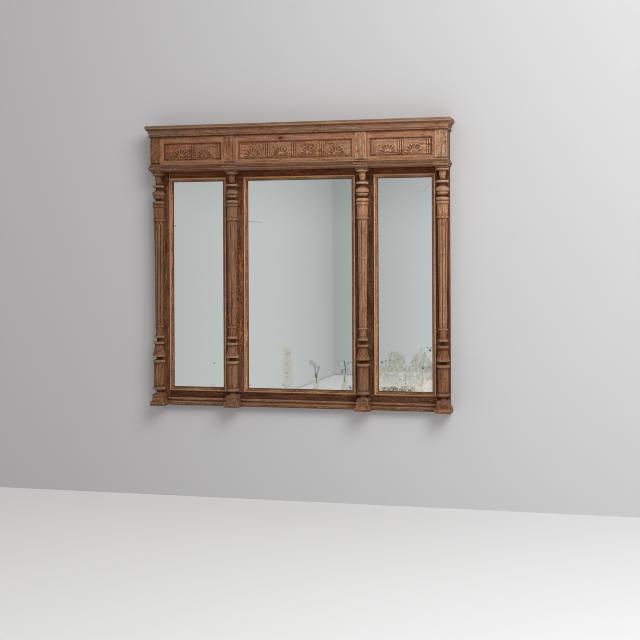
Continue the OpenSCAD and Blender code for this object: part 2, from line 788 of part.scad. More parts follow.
// a moulding that runs along the front and returns along the ends, mitred at the corners
// section points are [projection from the frieze face, height]; back is how far it reaches behind that face
module front_run(section, back, out) {
    intersection() {
        run_x([for (p = section) [-frieze_depth - p[0], p[1]]], -half_w - out, half_w + out);
        translate([0, 0, soffit_z - past]) linear_extrude(total_h - soffit_z + 2 * past) polygon([
            [-half_w - out, -frieze_depth - out], [half_w + out, -frieze_depth - out],
            [half_w - back, -frieze_depth + back], [-half_w + back, -frieze_depth + back]]);
    }
}

module end_run(section, back, out) {
    intersection() {
        run_y([for (p = section) [half_w + p[0], p[1]]], -frieze_depth - out, 0);
        translate([0, 0, soffit_z - past]) linear_extrude(total_h - soffit_z + 2 * past) polygon([
            [half_w + out, -frieze_depth - out], [half_w + out, 0],
            [half_w - back, 0], [half_w - back, -frieze_depth + back]]);
    }
}

// architrave: fillet, hollow, pointed nose and undercut, as shares of its projection and height
architrave_shape = [
    [0, 0], [0.3, 0], [0.45, 0.12], [0.5, 0.22], [1, 0.4], [0.8, 0.52], [0.42, 0.7], [0.36, 0.76],
    [0.36, 0.96], [0.28, 1], [0, 1]
];
architrave_face = [for (p = architrave_shape) [architrave_out * p[0], soffit_z + architrave_h * p[1]]];

module architrave_front() {
    color(oak) difference() {
        union() {
            front_run(concat([[-lap, soffit_z]], architrave_face, [[-lap, frieze_z]]), lap, architrave_out);
            box([-half_w, -frieze_depth, soffit_z], [half_w, -frieze_front, frieze_z]);
        }
        for (right = [true, false]) mirrored(right) {
            cap(inner_x, abacus_w);
            cap(outer_x, block_w / 2);
        }
    }
}

module architrave_return_left() { color(oak) mirrored(false) end_run(architrave_face, 0, architrave_out); }
module architrave_return_right() { color(oak) end_run(architrave_face, 0, architrave_out); }

// cornice: bed bead, hollow, quirk and a deep top fillet
dust_bearing_w = 12;
cornice_back = block_t + board_t - dust_bearing_w;
bed_r = cornice_h * 0.107;
bed_out = cornice_out * 0.14;
hollow_out = cornice_out * 0.42;
hollow_z = cornice_z + cornice_h * 0.36;
lip_out = cornice_out * 0.82;
fillet_z = total_h - cornice_h * 0.3;
cornice_face = concat(
    [[-cornice_back, cornice_z], [bed_out, cornice_z]],
    arc([bed_out, cornice_z + bed_r], bed_r * 0.9, -60, 60, 4),
    [[cornice_out * 0.24, hollow_z - cornice_h * 0.1], [cornice_out * 0.24, hollow_z - cornice_h * 0.05]],
    [for (a = [0 : 18 : 90]) [
        hollow_out + (lip_out - hollow_out) * (1 - cos(a)),
        hollow_z + (fillet_z - hollow_z) * 0.8 * sin(a)
    ]],
    [[lip_out, fillet_z - cornice_h * 0.03], [cornice_out * 0.95, fillet_z]],
    [[cornice_out, fillet_z + cornice_h * 0.05], [cornice_out, total_h - cornice_h * 0.05]],
    [[cornice_out * 0.91, total_h], [-cornice_back, total_h]]
);

module cornice_front() { color(oak_light) front_run(cornice_face, cornice_back, cornice_out); }
module cornice_return_left() { color(oak) mirrored(false) end_run(cornice_face, cornice_back, cornice_out); }
module cornice_return_right() { color(oak) end_run(cornice_face, cornice_back, cornice_out); }

module dust_board() {
    color(pine)
        box([-half_w + cornice_back, -frieze_depth + cornice_back, cornice_z],
            [half_w - cornice_back, 0, cornice_z + thin_t]);
}

// hanging plates let into the backs of the outer stiles over a pocket for the hook
plate_w = 26;
plate_l = 84;
plate_gap = 0.1;
pocket_w = 16;
pocket_l = 30;
pocket_d = 16;
screw_r = 1.8;
screw_l = 16;
screw_gap = 0.1;
screw_head_r = 3.6;
screw_head_h = 1.8;
screw_inset = 10;
screw_at = plate_l / 2 - screw_inset;
hang_x = half_w - hang_inset;
hang_z = open_z1 - hang_drop;

module screw_spots() {
    for (s = [-1, 1]) translate([hang_x, 0, hang_z + s * screw_at]) rotate([90, 0, 0]) children();
}

// a countersunk screw from the plate's face inwards, or with a gap the hole that it needs
module screw(gap) {
    cylinder(r1 = screw_head_r + gap, r2 = screw_r + gap, h = screw_head_h);
    cylinder(r = screw_r + gap, h = screw_l + gap);
}

// a block that reaches a depth in from the wall plane round the hanging hole
module at_hole(w, l, d) {
    box([hang_x - w / 2, -d, hang_z - l / 2], [hang_x + w / 2, 0, hang_z + l / 2]);
}

module hanging_recess() {
    translate([0, eps, 0]) at_hole(plate_w, plate_l, plate_t + eps);
    translate([0, eps, 0]) at_hole(pocket_w, pocket_l, pocket_d + eps);
    screw_spots() screw(screw_gap);
}

module hanging_plate() {
    difference() {
        at_hole(plate_w - 2 * plate_gap, plate_l - 2 * plate_gap, plate_t);
        translate([hang_x, past, hang_z]) rotate([90, 0, 0]) cylinder(r = hang_hole_r, h = plate_t + 2 * past);
        screw_spots() screw(screw_gap);
    }
}

module hanging_plates() { color(iron) for (right = [true, false]) mirrored(right) hanging_plate(); }
module hanging_screws() { color(iron) for (right = [true, false]) mirrored(right) screw_spots() screw(0); }

stile_left();
stile_right();
mullion_left();
mullion_right();
top_rail();
bottom_rail();
frame_pegs();
mirror_left();
mirror_centre();
mirror_right();
bead_left();
bead_centre();
bead_right();
glass_packing_blocks();
backboard_left();
backboard_centre();
backboard_right();
backboard_rub_blocks();
column_outer_left();
column_inner_left();
column_inner_right();
column_outer_right();
plinth_outer_left();
plinth_inner_left();
plinth_inner_right();
plinth_outer_right();
abacus_outer_left();
abacus_inner_left();
abacus_inner_right();
abacus_outer_right();
base_moulding_left();
base_moulding_centre();
base_moulding_right();
base_return_left();
base_return_right();
soffit_board();
frieze_board();
frieze_end_left();
frieze_end_right();
frieze_glue_blocks();
frieze_block_outer_left();
frieze_block_inner_left();
frieze_block_inner_right();
frieze_block_outer_right();
panel_frame_left();
panel_frame_centre();
panel_frame_right();
carved_panel_left();
carved_panel_centre();
carved_panel_right();
architrave_front();
architrave_return_left();
architrave_return_right();
cornice_front();
cornice_return_left();
cornice_return_right();
dust_board();
hanging_plates();
hanging_screws();
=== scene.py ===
# %% [markdown]
# # A three-light overmantel mirror in old stripped oak
# The construction arrives as a fixed frame of named parts, each in its real place. This lesson gives the
# parts their looks: weathered oak, old silvered glass, turned columns, carved fans, and the room that the
# mirror reflects. Everything is in metres. X runs to the right, Y into the wall and Z up, with the wall
# at Y = 0.

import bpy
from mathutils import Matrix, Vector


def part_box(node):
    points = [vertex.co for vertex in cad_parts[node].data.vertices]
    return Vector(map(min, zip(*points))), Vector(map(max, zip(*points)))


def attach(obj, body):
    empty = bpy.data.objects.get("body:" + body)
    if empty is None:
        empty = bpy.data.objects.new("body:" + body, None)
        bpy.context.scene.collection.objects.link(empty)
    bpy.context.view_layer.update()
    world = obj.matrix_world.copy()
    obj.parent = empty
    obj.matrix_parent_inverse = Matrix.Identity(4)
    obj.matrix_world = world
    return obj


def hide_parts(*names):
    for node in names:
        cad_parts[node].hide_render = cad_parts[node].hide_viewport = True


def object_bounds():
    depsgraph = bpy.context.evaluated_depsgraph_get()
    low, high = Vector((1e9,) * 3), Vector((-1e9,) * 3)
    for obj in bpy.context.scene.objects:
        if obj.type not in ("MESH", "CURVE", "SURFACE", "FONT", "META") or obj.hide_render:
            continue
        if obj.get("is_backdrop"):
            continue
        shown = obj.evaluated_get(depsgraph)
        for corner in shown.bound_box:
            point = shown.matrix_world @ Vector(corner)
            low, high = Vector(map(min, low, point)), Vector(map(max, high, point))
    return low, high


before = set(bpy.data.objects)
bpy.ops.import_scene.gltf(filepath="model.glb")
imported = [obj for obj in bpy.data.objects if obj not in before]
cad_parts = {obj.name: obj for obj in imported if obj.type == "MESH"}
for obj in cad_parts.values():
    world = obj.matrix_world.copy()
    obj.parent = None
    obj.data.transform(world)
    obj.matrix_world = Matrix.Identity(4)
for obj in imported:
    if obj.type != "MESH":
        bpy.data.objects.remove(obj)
cad_low, cad_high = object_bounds()
print("parts in the frame:", len(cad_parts))

# %% Modules and small helpers
import math
from functools import partialmethod

import bmesh
import bpy
from mathutils import Matrix, Vector

scene = bpy.context.scene
sides = ("left", "right")
thirds = ("left", "centre", "right")
column_places = ("outer_left", "inner_left", "inner_right", "outer_right")


def show(title, value):
    print(f"{title}: {value}")


def each(kind, places):
    """The names of the same part in several places."""
    return [f"{kind}_{place}" for place in places]


show("overall size in metres", [round(b - a, 3) for a, b in zip(cad_low, cad_high)])

# %% [markdown]
# ## The camera
# The photographer stood to the right of the mirror, about 5.7 m from the wall, and held the camera level.
# The picture was later cropped below its middle, so the mirror sits high in it. A small vertical shift
# does the same here, and keeps the upright edges upright.

# %% Camera
photo_size = 640
focal_length_px = 1200.0
crop_shift_px = 66.3
eye = Vector((1.536, -5.747, 0.760))
turn_left = math.radians(14.04)
tilt = -0.0041

camera_data = bpy.data.cameras.new("camera")
camera_data.sensor_width = 36.0
camera_data.lens = focal_length_px * camera_data.sensor_width / photo_size
camera_data.shift_y = -crop_shift_px / photo_size
camera = bpy.data.objects.new("camera", camera_data)
scene.collection.objects.link(camera)
camera.matrix_world = (
    Matrix.Translation(eye)
    @ Matrix.Rotation(turn_left, 4, "Z")
    @ Matrix.Rotation(math.radians(90), 4, "X")
    @ Matrix.Rotation(tilt, 4, "Z")
)
scene.camera = camera
scene.view_settings.view_transform = "Standard"
scene.cycles.filter_width = 1.0
show("lens in mm", round(camera_data.lens, 1))

# %% [markdown]
# ## Formulas that build node trees
# Many patterns below are formulas: rings of growth, flutes round a shaft, petals of a fan. Wiring each
# plus and minus by hand hides the idea, so a small class lets Python's own operators make the Math nodes.
# It works in material trees and in Geometry Nodes trees alike, because both share the Math node. A socket
# knows which tree it belongs to, so most helpers find their tree by themselves.

# %% Nodes and formulas
def feed(value, slot):
    """Puts a formula, a socket or a plain value into an input."""
    value = getattr(value, "socket", value)
    if isinstance(value, bpy.types.NodeSocket):
        slot.id_data.links.new(value, slot)
    else:
        slot.default_value = value


def fill(node, *in_order, **by_name):
    """Fills the inputs of a node, the first ones in order and others by name, and returns the node."""
    for slot, value in zip(node.inputs, in_order):
        feed(value, slot)
    for title, value in by_name.items():
        feed(value, node.inputs[title.replace("_", " ")])
    return node


def wired(tree, kind, *in_order, **named):
    """Adds a node. Names in small letters are its settings, and names with a capital its inputs."""
    node = tree.nodes.new(kind)
    for title in [title for title in named if title.islower()]:
        setattr(node, title, named.pop(title))
    return fill(node, *in_order, **named)


class Formula:
    """One number that a node tree works out for every point."""

    def __init__(self, socket):
        self.socket = socket
        self.tree = socket.id_data

    def math(self, operation, *others):
        return Formula(wired(self.tree, "ShaderNodeMath", self, *others, operation=operation).outputs[0])

    def __rsub__(self, other):
        return Formula(wired(self.tree, "ShaderNodeMath", other, self, operation="SUBTRACT").outputs[0])

    def __rtruediv__(self, other):
        return Formula(wired(self.tree, "ShaderNodeMath", other, self, operation="DIVIDE").outputs[0])

    __add__ = __radd__ = partialmethod(math, "ADD")
    __sub__ = partialmethod(math, "SUBTRACT")
    __mul__ = __rmul__ = partialmethod(math, "MULTIPLY")
    __truediv__ = partialmethod(math, "DIVIDE")
    at_least = partialmethod(math, "MAXIMUM")
    at_most = partialmethod(math, "MINIMUM")
    above = partialmethod(math, "GREATER_THAN")
    size = partialmethod(math, "ABSOLUTE")
    root = partialmethod(math, "SQRT")
    sine = partialmethod(math, "SINE")
    cosine = partialmethod(math, "COSINE")


print("nodes can be written as formulas")

# %% Helpers for numbers
def ramp(value, low, high, shape="SMOOTHSTEP"):
    """Rises from 0 to 1 while value goes from low to high."""
    node = wired(value.tree, "ShaderNodeMapRange", interpolation_type=shape, Value=value, From_Min=low,
                 From_Max=high)
    return Formula(node.outputs["Result"])


def fall(value, low, high, shape="SMOOTHSTEP"):
    """Falls from 1 to 0 in the same way."""
    return 1.0 - ramp(value, low, high, shape)


def distance(aside, upward):
    """The length of a line that goes so far aside and so far up."""
    return (aside * aside + upward * upward).root()


def strongest(masks):
    result = masks[0]
    for mask in masks[1:]:
        result = result.at_least(mask)
    return result


def split(vector):
    return [Formula(output) for output in wired(vector.id_data, "ShaderNodeSeparateXYZ", vector).outputs]


def joined(x, y, z):
    return wired(x.tree, "ShaderNodeCombineXYZ", x, y, z).outputs[0]


def vector_math(operation, first, second):
    return wired(first.id_data, "ShaderNodeVectorMath", first, second, operation=operation)


def noise_at(vector, scale=1.0, detail=2.0, roughness=0.5, distortion=0.0):
    node = wired(vector.id_data, "ShaderNodeTexNoise", Vector=vector, Scale=scale, Detail=detail,
                 Roughness=roughness, Distortion=distortion)
    return Formula(node.outputs[0])


print("helpers for numbers are ready")

# %% Helpers for colours
def tree_of(*values):
    """The tree that the first formula or socket among these values belongs to."""
    sockets = [getattr(value, "socket", value) for value in values]
    return next(socket.id_data for socket in sockets if isinstance(socket, bpy.types.NodeSocket))


def mixed(factor, below, above, blend="MIX"):
    """Goes from the colour below to the colour above."""
    node = wired(tree_of(factor, below, above), "ShaderNodeMix", factor, data_type="RGBA", blend_type=blend)
    for slot, value in zip([slot for slot in node.inputs if slot.type == "RGBA"], (below, above)):
        feed(value, slot)
    return next(slot for slot in node.outputs if slot.type == "RGBA")


def layered(colour, *layers):
    """Lays colours over a first one: each layer is how much it covers and its colour."""
    for cover, above in layers:
        colour = mixed(cover, colour, above)
    return colour


def chosen(factor, below, above):
    """Goes from the shader below to the shader above."""
    return wired(tree_of(factor), "ShaderNodeMixShader", factor, below, above).outputs[0]


def srgb(red, green, blue):
    """A colour as a painter reads it off a screen, 0 to 255, in the linear values that light works with."""
    def linear(value):
        value /= 255
        return value / 12.92 if value <= 0.04045 else ((value + 0.055) / 1.055) ** 2.4

    return (linear(red), linear(green), linear(blue), 1.0)


print("helpers for colours are ready")

# %% Helpers for whole trees
def named_tree(name, kind, wanted, made):
    """A tree with named inputs and outputs. The numbers among its inputs come as formulas."""
    tree = bpy.data.node_groups.new(name, kind)
    for way, sockets in (("INPUT", wanted), ("OUTPUT", made)):
        for title, socket_kind in sockets.items():
            tree.interface.new_socket(title, in_out=way, socket_type="NodeSocket" + socket_kind)
    entry = tree.nodes.new("NodeGroupInput").outputs
    given = {title: Formula(entry[title]) if socket_kind in ("Float", "Int") else entry[title]
             for title, socket_kind in wanted.items()}
    return tree, given, tree.nodes.new("NodeGroupOutput")


def new_material(name):
    """A material, its shader and the place of each point on the object."""
    material = bpy.data.materials.new(name)
    material.use_nodes = True
    nodes = material.node_tree.nodes
    return material, nodes["Principled BSDF"], nodes.new("ShaderNodeTexCoord").outputs["Object"]


def bumpy(shader, relief, strength, depth):
    """Lets a fine relief catch the light."""
    bump = wired(relief.tree, "ShaderNodeBump", Strength=strength, Distance=depth, Height=relief)
    fill(shader, Normal=bump.outputs[0])


print("helpers for trees and materials are ready")

# %% [markdown]
# ## Old stripped oak
# Oak shows growth rings and long open pores. On this mirror the old varnish was stripped, so the wood is
# dry and nearly matt. It is darker in the corners, from old stain and grime and from painted shade, and
# paler on the edges, from wear and from a painted highlight. One group holds this recipe. Its pattern
# runs along the group's own X axis, and each material turns and shifts the pattern for its own piece, so
# that no two boards come from the same tree.

# %% Grain, corners and edges
edge_reach = 0.0032


def drawn_out(place, along, across, **settings):
    """Noise drawn out along X. Along and across are its scales with and against the grain."""
    x, y, z = place
    return noise_at(joined(x * along, y * across, z * across), **settings)


def crevice(tree, reach, closed, opened):
    """1 deep in a corner, 0 where the surface lies open as far as reach."""
    corner = wired(tree, "ShaderNodeAmbientOcclusion", samples=5, Distance=reach)
    return fall(Formula(corner.outputs["AO"]), closed, opened)


def edge(tree):
    """1 on an edge, where a rounded normal leaves the true one."""
    rounded = wired(tree, "ShaderNodeBevel", samples=4, Radius=edge_reach).outputs[0]
    true_face = tree.nodes.new("ShaderNodeNewGeometry").outputs["Normal"]
    return fall(Formula(vector_math("DOT_PRODUCT", rounded, true_face).outputs["Value"]), 0.80, 0.999)


show("an edge reaches in metres", edge_reach)

# %% The oak recipe
ring_pitch = 0.0046
fine_crevice = 0.009
broad_crevice = 0.040
staining = 0.5
# the darkest brown: a knot's heart, and the painted shade deep in corners
dirt_and_shade_dark = srgb(44, 25, 14)
wood_tones = ("RubbedAndLit", "Pale", "Body", "Deep", "Grey")


def oak_recipe():
    tree, given, result = named_tree(
        "stripped_oak", "ShaderNodeTree",
        {"Place": "Vector", **dict.fromkeys(wood_tones, "Color"), "Greying": "Float", "Dirt": "Float"},
        {"Colour": "Color", "Roughness": "Float", "Relief": "Float"})
    deep, shade_and_dirt = given["Deep"], given["Dirt"]
    place = split(given["Place"])

    # growth rings: distance from the heart of the tree, with a slow sway along the board
    sway = drawn_out(place, 1.6, 9.0, detail=3.0)
    heart = distance(place[1] + sway * 0.030, place[2] + sway * 0.022)
    ring = (heart / ring_pitch).math("FRACT")
    ring_line = ramp(ring, 0.0, 0.55) * fall(ring, 0.80, 1.0)

    # streaks, fibres and pores: noise drawn out along the grain, from broad to fine
    streak = drawn_out(place, 9.0, 95.0, detail=3.0, roughness=0.7)
    fibre = drawn_out(place, 16.0, 310.0, detail=4.0, roughness=0.7)
    pore = ramp(drawn_out(place, 100.0, 1700.0, detail=1.0), 0.55, 0.66)
    fleck = drawn_out(place, 95.0, 170.0, detail=3.0, roughness=0.65)
    stain = drawn_out(place, 7.0, 14.0, detail=5.0, roughness=0.62, distortion=0.5)

    tone = streak * 0.34 + fibre * 0.26 + fleck * 0.40
    colour = layered(
        deep, (ramp(tone, 0.40, 0.50), given["Body"]), (ramp(tone, 0.50, 0.59), given["Pale"]),
        (ring_line * 0.32, deep), (pore * 0.50, deep),
        (ramp(stain + fibre * 0.3, 0.54, 0.80) * given["Greying"], given["Grey"]),
        (fall(stain + fleck * 0.25, 0.42, 0.58) * staining, deep))

    # painted shade and old grime darken corners at two scales; edges pale from wear and a painted highlight
    close_shade_and_dirt = crevice(tree, fine_crevice, 0.30, 0.88)
    shade = crevice(tree, broad_crevice, 0.20, 0.80)
    rubbed_and_lit = edge(tree) * (1.0 - close_shade_and_dirt) * ramp(fibre, 0.25, 0.55)
    colour = layered(colour, (shade * shade_and_dirt * 0.72, deep), (ramp(shade, 0.55, 1.0) * shade_and_dirt * 0.85, dirt_and_shade_dark),
                     (close_shade_and_dirt * shade_and_dirt * 0.92, dirt_and_shade_dark), (rubbed_and_lit, given["RubbedAndLit"]))

    fill(result, Colour=colour, Roughness=0.66 + ring_line * 0.10 + fibre * 0.16,
         Relief=fibre * 0.5 - pore * 0.5 - ring_line * 0.25 + fleck * 0.35)
    return tree


oak_group = oak_recipe()
show("nodes in the oak recipe", len(oak_group.nodes))

# %% [markdown]
# ## Oak for each piece
# A material places the recipe. The grain of a rail runs along X, that of a stile or a column along Z, and
# that of a return along Y. The Mapping node turns the pattern. It also moves it, which puts the heart of
# the tree beside the board, as sawn boards have it. Over the grain come painted highlights and painted
# shade along the mouldings, dark knots, painted shade in what a turner or carver cut deep, a painted
# highlight on turned rings, and dust on the side that was never waxed. The room's light differs from one
# end to the other, so each oak gets a factor for either end that paints this light into its colour.

# %% What lies over the grain
grain_turn = {
    "x": (0.0, 0.0, 0.0),
    "y": (0.0, 0.0, math.radians(90)),
    "z": (0.0, math.radians(90), 0.0),
}


def along_grain(place, grain, shift):
    turn = wired(place.id_data, "ShaderNodeMapping", Vector=place, Rotation=grain_turn[grain], Location=shift)
    return turn.outputs["Vector"]


def with_lines(colour, at, lines, shades):
    """Lines that follow a moulding: a painted highlight on its crests and painted shade in its hollows."""
    for axis, centre, half, slot, amount in lines:
        close = fall((at[axis] - centre).size(), half * 0.6, half * 1.3)
        colour = mixed(close * amount, colour, shades[slot])
    return colour


def with_knots(colour, at, place, knots, deep):
    """Knots: a dark heart with a few rings round it."""
    for knot_x, knot_z, half_x, half_z in knots:
        away = distance((at["x"] - knot_x) / half_x, (at["z"] - knot_z) / half_z)
        away = away + (noise_at(place, scale=160.0, detail=3.0) - 0.5) * 1.6
        rings = ramp((away * 7.0).sine(), -0.4, 0.8) * fall(away, 1.2, 2.2)
        colour = layered(colour, (rings * 0.6, deep), (fall(away, 0.35, 0.75) * 0.9, dirt_and_shade_dark))
    return colour


def with_mark(colour, mark, amount, shade):
    """Colours a shape by a mark that its own tree has left on its points."""
    if not amount:
        return colour
    stored_mark = wired(colour.id_data, "ShaderNodeAttribute", attribute_name=mark)
    return mixed(Formula(stored_mark.outputs["Fac"]) * amount, colour, shade)


print("grain directions:", ", ".join(grain_turn))

# %% Making an oak material
half_width = 0.75
foot_zone = (0.30, 0.44)
head_zone = (0.93, 0.98)
unwaxed_zone = (-0.0040, -0.0010)
dust = srgb(104, 88, 73)
oak_finishes = {}


def oak(name, grain, seed, tone, left, right, foot=None, head=None, lines=(), knots=(), hollow=0.0, crest_highlight=0.0,
        greying=0.4, shade_and_dirt=1.0):
    """Left and right multiply the colour at the mirror's ends as painted light, and foot and head do so low
    and high on it.
    """
    material, shader, place = new_material(name)
    at = dict(zip("xyz", split(place)))
    shades = {slot: srgb(*shade) for slot, shade in tone.items()}
    recipe = material.node_tree.nodes.new("ShaderNodeGroup")
    recipe.node_tree = oak_group
    fill(recipe, Place=along_grain(place, grain, (seed * 3.7, 0.055 + seed * 0.013, 0.04 - seed * 0.017)),
         Greying=greying, Dirt=shade_and_dirt, **{slot: shades[slot] for slot in wood_tones})

    colour = with_lines(recipe.outputs["Colour"], at, lines, shades)
    colour = with_knots(colour, at, place, knots, shades["Deep"])
    # painted shade in necks, flutes, petals and valleys, and a painted highlight on turned rings
    colour = with_mark(colour, "hollow", hollow, shades["Hollow_shade"])
    colour = with_mark(colour, "crest_highlight", crest_highlight, shades["RubbedAndLit"])
    # painted light and shade: the colour is multiplied by one factor at the left end and another at the right
    across = mixed(ramp(at["x"], -half_width, half_width, "LINEAR"), (*left, 1.0), (*right, 1.0))
    colour = mixed(1.0, colour, across, "MULTIPLY")
    if foot:
        colour = mixed(fall(at["z"], *foot_zone), colour, (*foot, 1.0), "MULTIPLY")
    if head:
        colour = mixed(ramp(at["z"], *head_zone), colour, (*head, 1.0), "MULTIPLY")
    colour = mixed(ramp(at["y"], *unwaxed_zone) * 0.55, colour, dust)

    fill(shader, Base_Color=colour, Roughness=recipe.outputs["Roughness"], Specular_IOR_Level=0.18)
    bumpy(shader, Formula(recipe.outputs["Relief"]), 0.7, 0.0007)
    oak_finishes[name] = material


print("unwaxed wood lies behind y =", unwaxed_zone[1])

# %% Tones of oak and lines of the mouldings
# the palest tone of each oak paints worn edges and also painted highlights on crests and arrises
tan = dict(RubbedAndLit=(216, 170, 138), Pale=(200, 150, 110), Body=(154, 104, 71), Deep=(84, 47, 28),
           Grey=(134, 112, 92), Hollow_shade=(84, 47, 28))
brown = dict(RubbedAndLit=(206, 162, 122), Pale=(178, 128, 91), Body=(130, 85, 56), Deep=(62, 34, 20),
             Grey=(112, 94, 78), Hollow_shade=(62, 34, 20))
dark = dict(RubbedAndLit=(168, 118, 84), Pale=(134, 84, 55), Body=(90, 51, 31), Deep=(42, 22, 13),
            Grey=(82, 64, 52), Hollow_shade=(42, 22, 13))
soft_tan = dict(tan, RubbedAndLit=(208, 160, 128), Pale=(186, 136, 98), Deep=(106, 65, 42))
# a lit and a shaded copy of the turned oak, for the columns on the right and on the left
turned_lit_tan = dict(tan, Pale=(188, 138, 99), Deep=(94, 56, 35), Hollow_shade=(58, 32, 19))
turned_shaded_brown = dict(brown, Pale=(168, 120, 84), Deep=(74, 43, 27), Hollow_shade=(46, 26, 16))

# lines of painted highlight and painted shade that follow each moulding, down to the shadow line at the glass
# each line: the axis that it is measured on, its place, half its width, its tone and its strength
bead_lines = [("y", -0.0375, 0.0022, "RubbedAndLit", 0.28), ("y", -0.0290, 0.0045, "Deep", 0.25),
              ("y", -0.0220, 0.0024, "Deep", 0.95)]
base_lines = [("z", 0.0365, 0.0012, "RubbedAndLit", 0.30), ("z", 0.0240, 0.0035, "Deep", 0.7),
              ("z", 0.0170, 0.0015, "RubbedAndLit", 0.25), ("z", 0.0020, 0.0025, "Deep", 0.7)]
cornice_lines = [("z", 1.3970, 0.0035, "Grey", 0.7), ("z", 1.3880, 0.0035, "RubbedAndLit", 0.30),
                 ("z", 1.3805, 0.0028, "Deep", 0.7), ("z", 1.3620, 0.0040, "RubbedAndLit", 0.25),
                 ("z", 1.3555, 0.0020, "Deep", 0.4), ("z", 1.3455, 0.0024, "Deep", 0.9)]
architrave_lines = [("z", 1.2060, 0.0020, "RubbedAndLit", 0.5), ("z", 1.1950, 0.0030, "Grey", 0.5),
                    ("z", 1.1900, 0.0016, "Deep", 0.5), ("z", 1.1830, 0.0026, "RubbedAndLit", 0.35)]

# each knot: its x and z, and half its width and height
cornice_knots = [(0.121, 1.361, 0.008, 0.003), (0.201, 1.359, 0.010, 0.003), (0.333, 1.364, 0.006, 0.003),
                 (0.699, 1.368, 0.011, 0.003), (-0.606, 1.367, 0.014, 0.004)]
frieze_knots = [(-0.067, 1.326, 0.019, 0.014)]
show("lines on the mouldings", sum(map(len, (bead_lines, base_lines, cornice_lines, architrave_lines))))

# %% The oak materials
# the factors for either end paint the room's light into each oak; the right columns take the lit copy
oak("top_rail_oak", "x", 1, dark, (2.1, 1.6, 1.15), (2.0, 1.6, 1.2))
oak("bottom_rail_oak", "x", 14, dark, (0.62, 0.50, 0.36), (1.32, 1.28, 1.02))
oak("stile_oak", "z", 2, dark, (1.9, 1.9, 1.7), (1.26, 1.21, 1.05))
oak("mullion_oak", "z", 18, dark, (2.5, 2.5, 2.3), (0.7, 0.8, 0.85))
oak("bead_oak_flat", "x", 3, brown, (1.65, 1.7, 1.65), (1.75, 1.75, 1.75), foot=(0.68, 0.66, 0.64),
    lines=bead_lines, greying=0.15)
oak("bead_oak_upright", "z", 4, brown, (1.45, 1.4, 1.4), (2.0, 2.0, 2.05), lines=bead_lines, greying=0.15)
oak("column_oak_shaded_side", "z", 5, turned_shaded_brown, (0.98, 0.93, 0.88), (1.80, 1.92, 2.0), head=(1.0, 1.02, 1.05),
    foot=(0.94, 0.98, 1.02), hollow=0.9, crest_highlight=0.22)
oak("column_oak_lit_side", "z", 6, turned_lit_tan, (1.3, 1.4, 1.3), (1.25, 1.25, 1.25), head=(1.18, 1.25, 1.28),
    foot=(0.60, 0.56, 0.55), hollow=0.9, crest_highlight=0.20)
oak("plinth_oak", "x", 7, brown, (0.84, 0.83, 0.84), (0.98, 1.0, 1.05))
oak("frieze_oak_flat", "x", 8, soft_tan, (0.87, 0.75, 0.67), (1.3, 1.3, 1.35), knots=frieze_knots, shade_and_dirt=0.6)
oak("frieze_oak_upright", "z", 16, soft_tan, (0.97, 0.84, 0.76), (1.3, 1.3, 1.35), shade_and_dirt=0.6)
oak("carved_oak", "x", 17, tan, (0.85, 0.70, 0.57), (1.66, 1.84, 2.0), hollow=0.58, shade_and_dirt=0.6)
oak("block_oak", "z", 9, tan, (0.60, 0.50, 0.43), (1.50, 1.70, 1.96))
oak("architrave_oak", "x", 15, brown, (0.58, 0.50, 0.49), (0.92, 0.90, 0.92), lines=architrave_lines)
oak("cornice_oak", "x", 10, tan, (0.60, 0.60, 0.58), (1.0, 0.97, 0.95), lines=cornice_lines,
    knots=cornice_knots, greying=0.7)
oak("return_oak", "y", 11, brown, (1.2, 1.25, 1.3), (1.25, 1.3, 1.4), greying=0.8)
oak("base_oak", "x", 12, brown, (0.9, 0.85, 0.9), (1.0, 0.95, 0.95), lines=base_lines)
oak("inner_oak", "x", 13, brown, (1.4, 1.3, 1.2), (1.8, 1.8, 1.8), shade_and_dirt=0.25)
show("oak materials", len(oak_finishes))

# %% Dressing the parts that stay as they are
oak_parts = {
    "top_rail_oak": ["top_rail"],
    "bottom_rail_oak": ["bottom_rail"],
    "stile_oak": each("stile", sides) + ["frame_pegs"],
    "mullion_oak": each("mullion", sides),
    "plinth_oak": each("plinth", column_places) + each("abacus", column_places),
    "architrave_oak": ["architrave_front"],
    "block_oak": each("frieze_block", column_places),
    "cornice_oak": ["cornice_front"],
    "return_oak": (each("cornice_return", sides) + each("architrave_return", sides)
                   + each("frieze_end", sides) + each("base_return", sides)),
    "base_oak": each("base_moulding", thirds),
    "inner_oak": ["soffit_board", "frieze_board"],
}


def dress(names, *materials):
    """Gives the same materials to each of the named parts."""
    for name in names:
        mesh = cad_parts[name].data
        mesh.materials.clear()
        for material in materials:
            mesh.materials.append(material)


for finish, names in oak_parts.items():
    dress(names, oak_finishes[finish])
show("oak parts dressed", sum(map(len, oak_parts.values())))

# %% [markdown]
# The beads and panel frames are mitred: their long strips run along X and their short ones upright, and
# the grain follows each strip. Such a part takes two materials. A face belongs to an upright strip where
# it lies nearer to the frame's left or right edge than to its foot or head.

# %% Dressing the mitred frames
fillet_height = 0.014


def dress_mitred(name, flat, upright, head_room=0.0):
    dress([name], oak_finishes[flat], oak_finishes[upright])
    near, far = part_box(name)
    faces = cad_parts[name].data.polygons
    for face in faces:
        to_side = min(face.center.x - near.x, far.x - face.center.x)
        to_end = min(face.center.z - near.z, far.z - head_room - face.center.z)
        face.material_index = int(to_side < to_end)
    show(f"upright faces of {name}", sum(face.material_index for face in faces))


for name in each("bead", thirds):
    dress_mitred(name, "bead_oak_flat", "bead_oak_upright")
for name in each("panel_frame", thirds):
    dress_mitred(name, "frieze_oak_flat", "frieze_oak_upright", fillet_height)

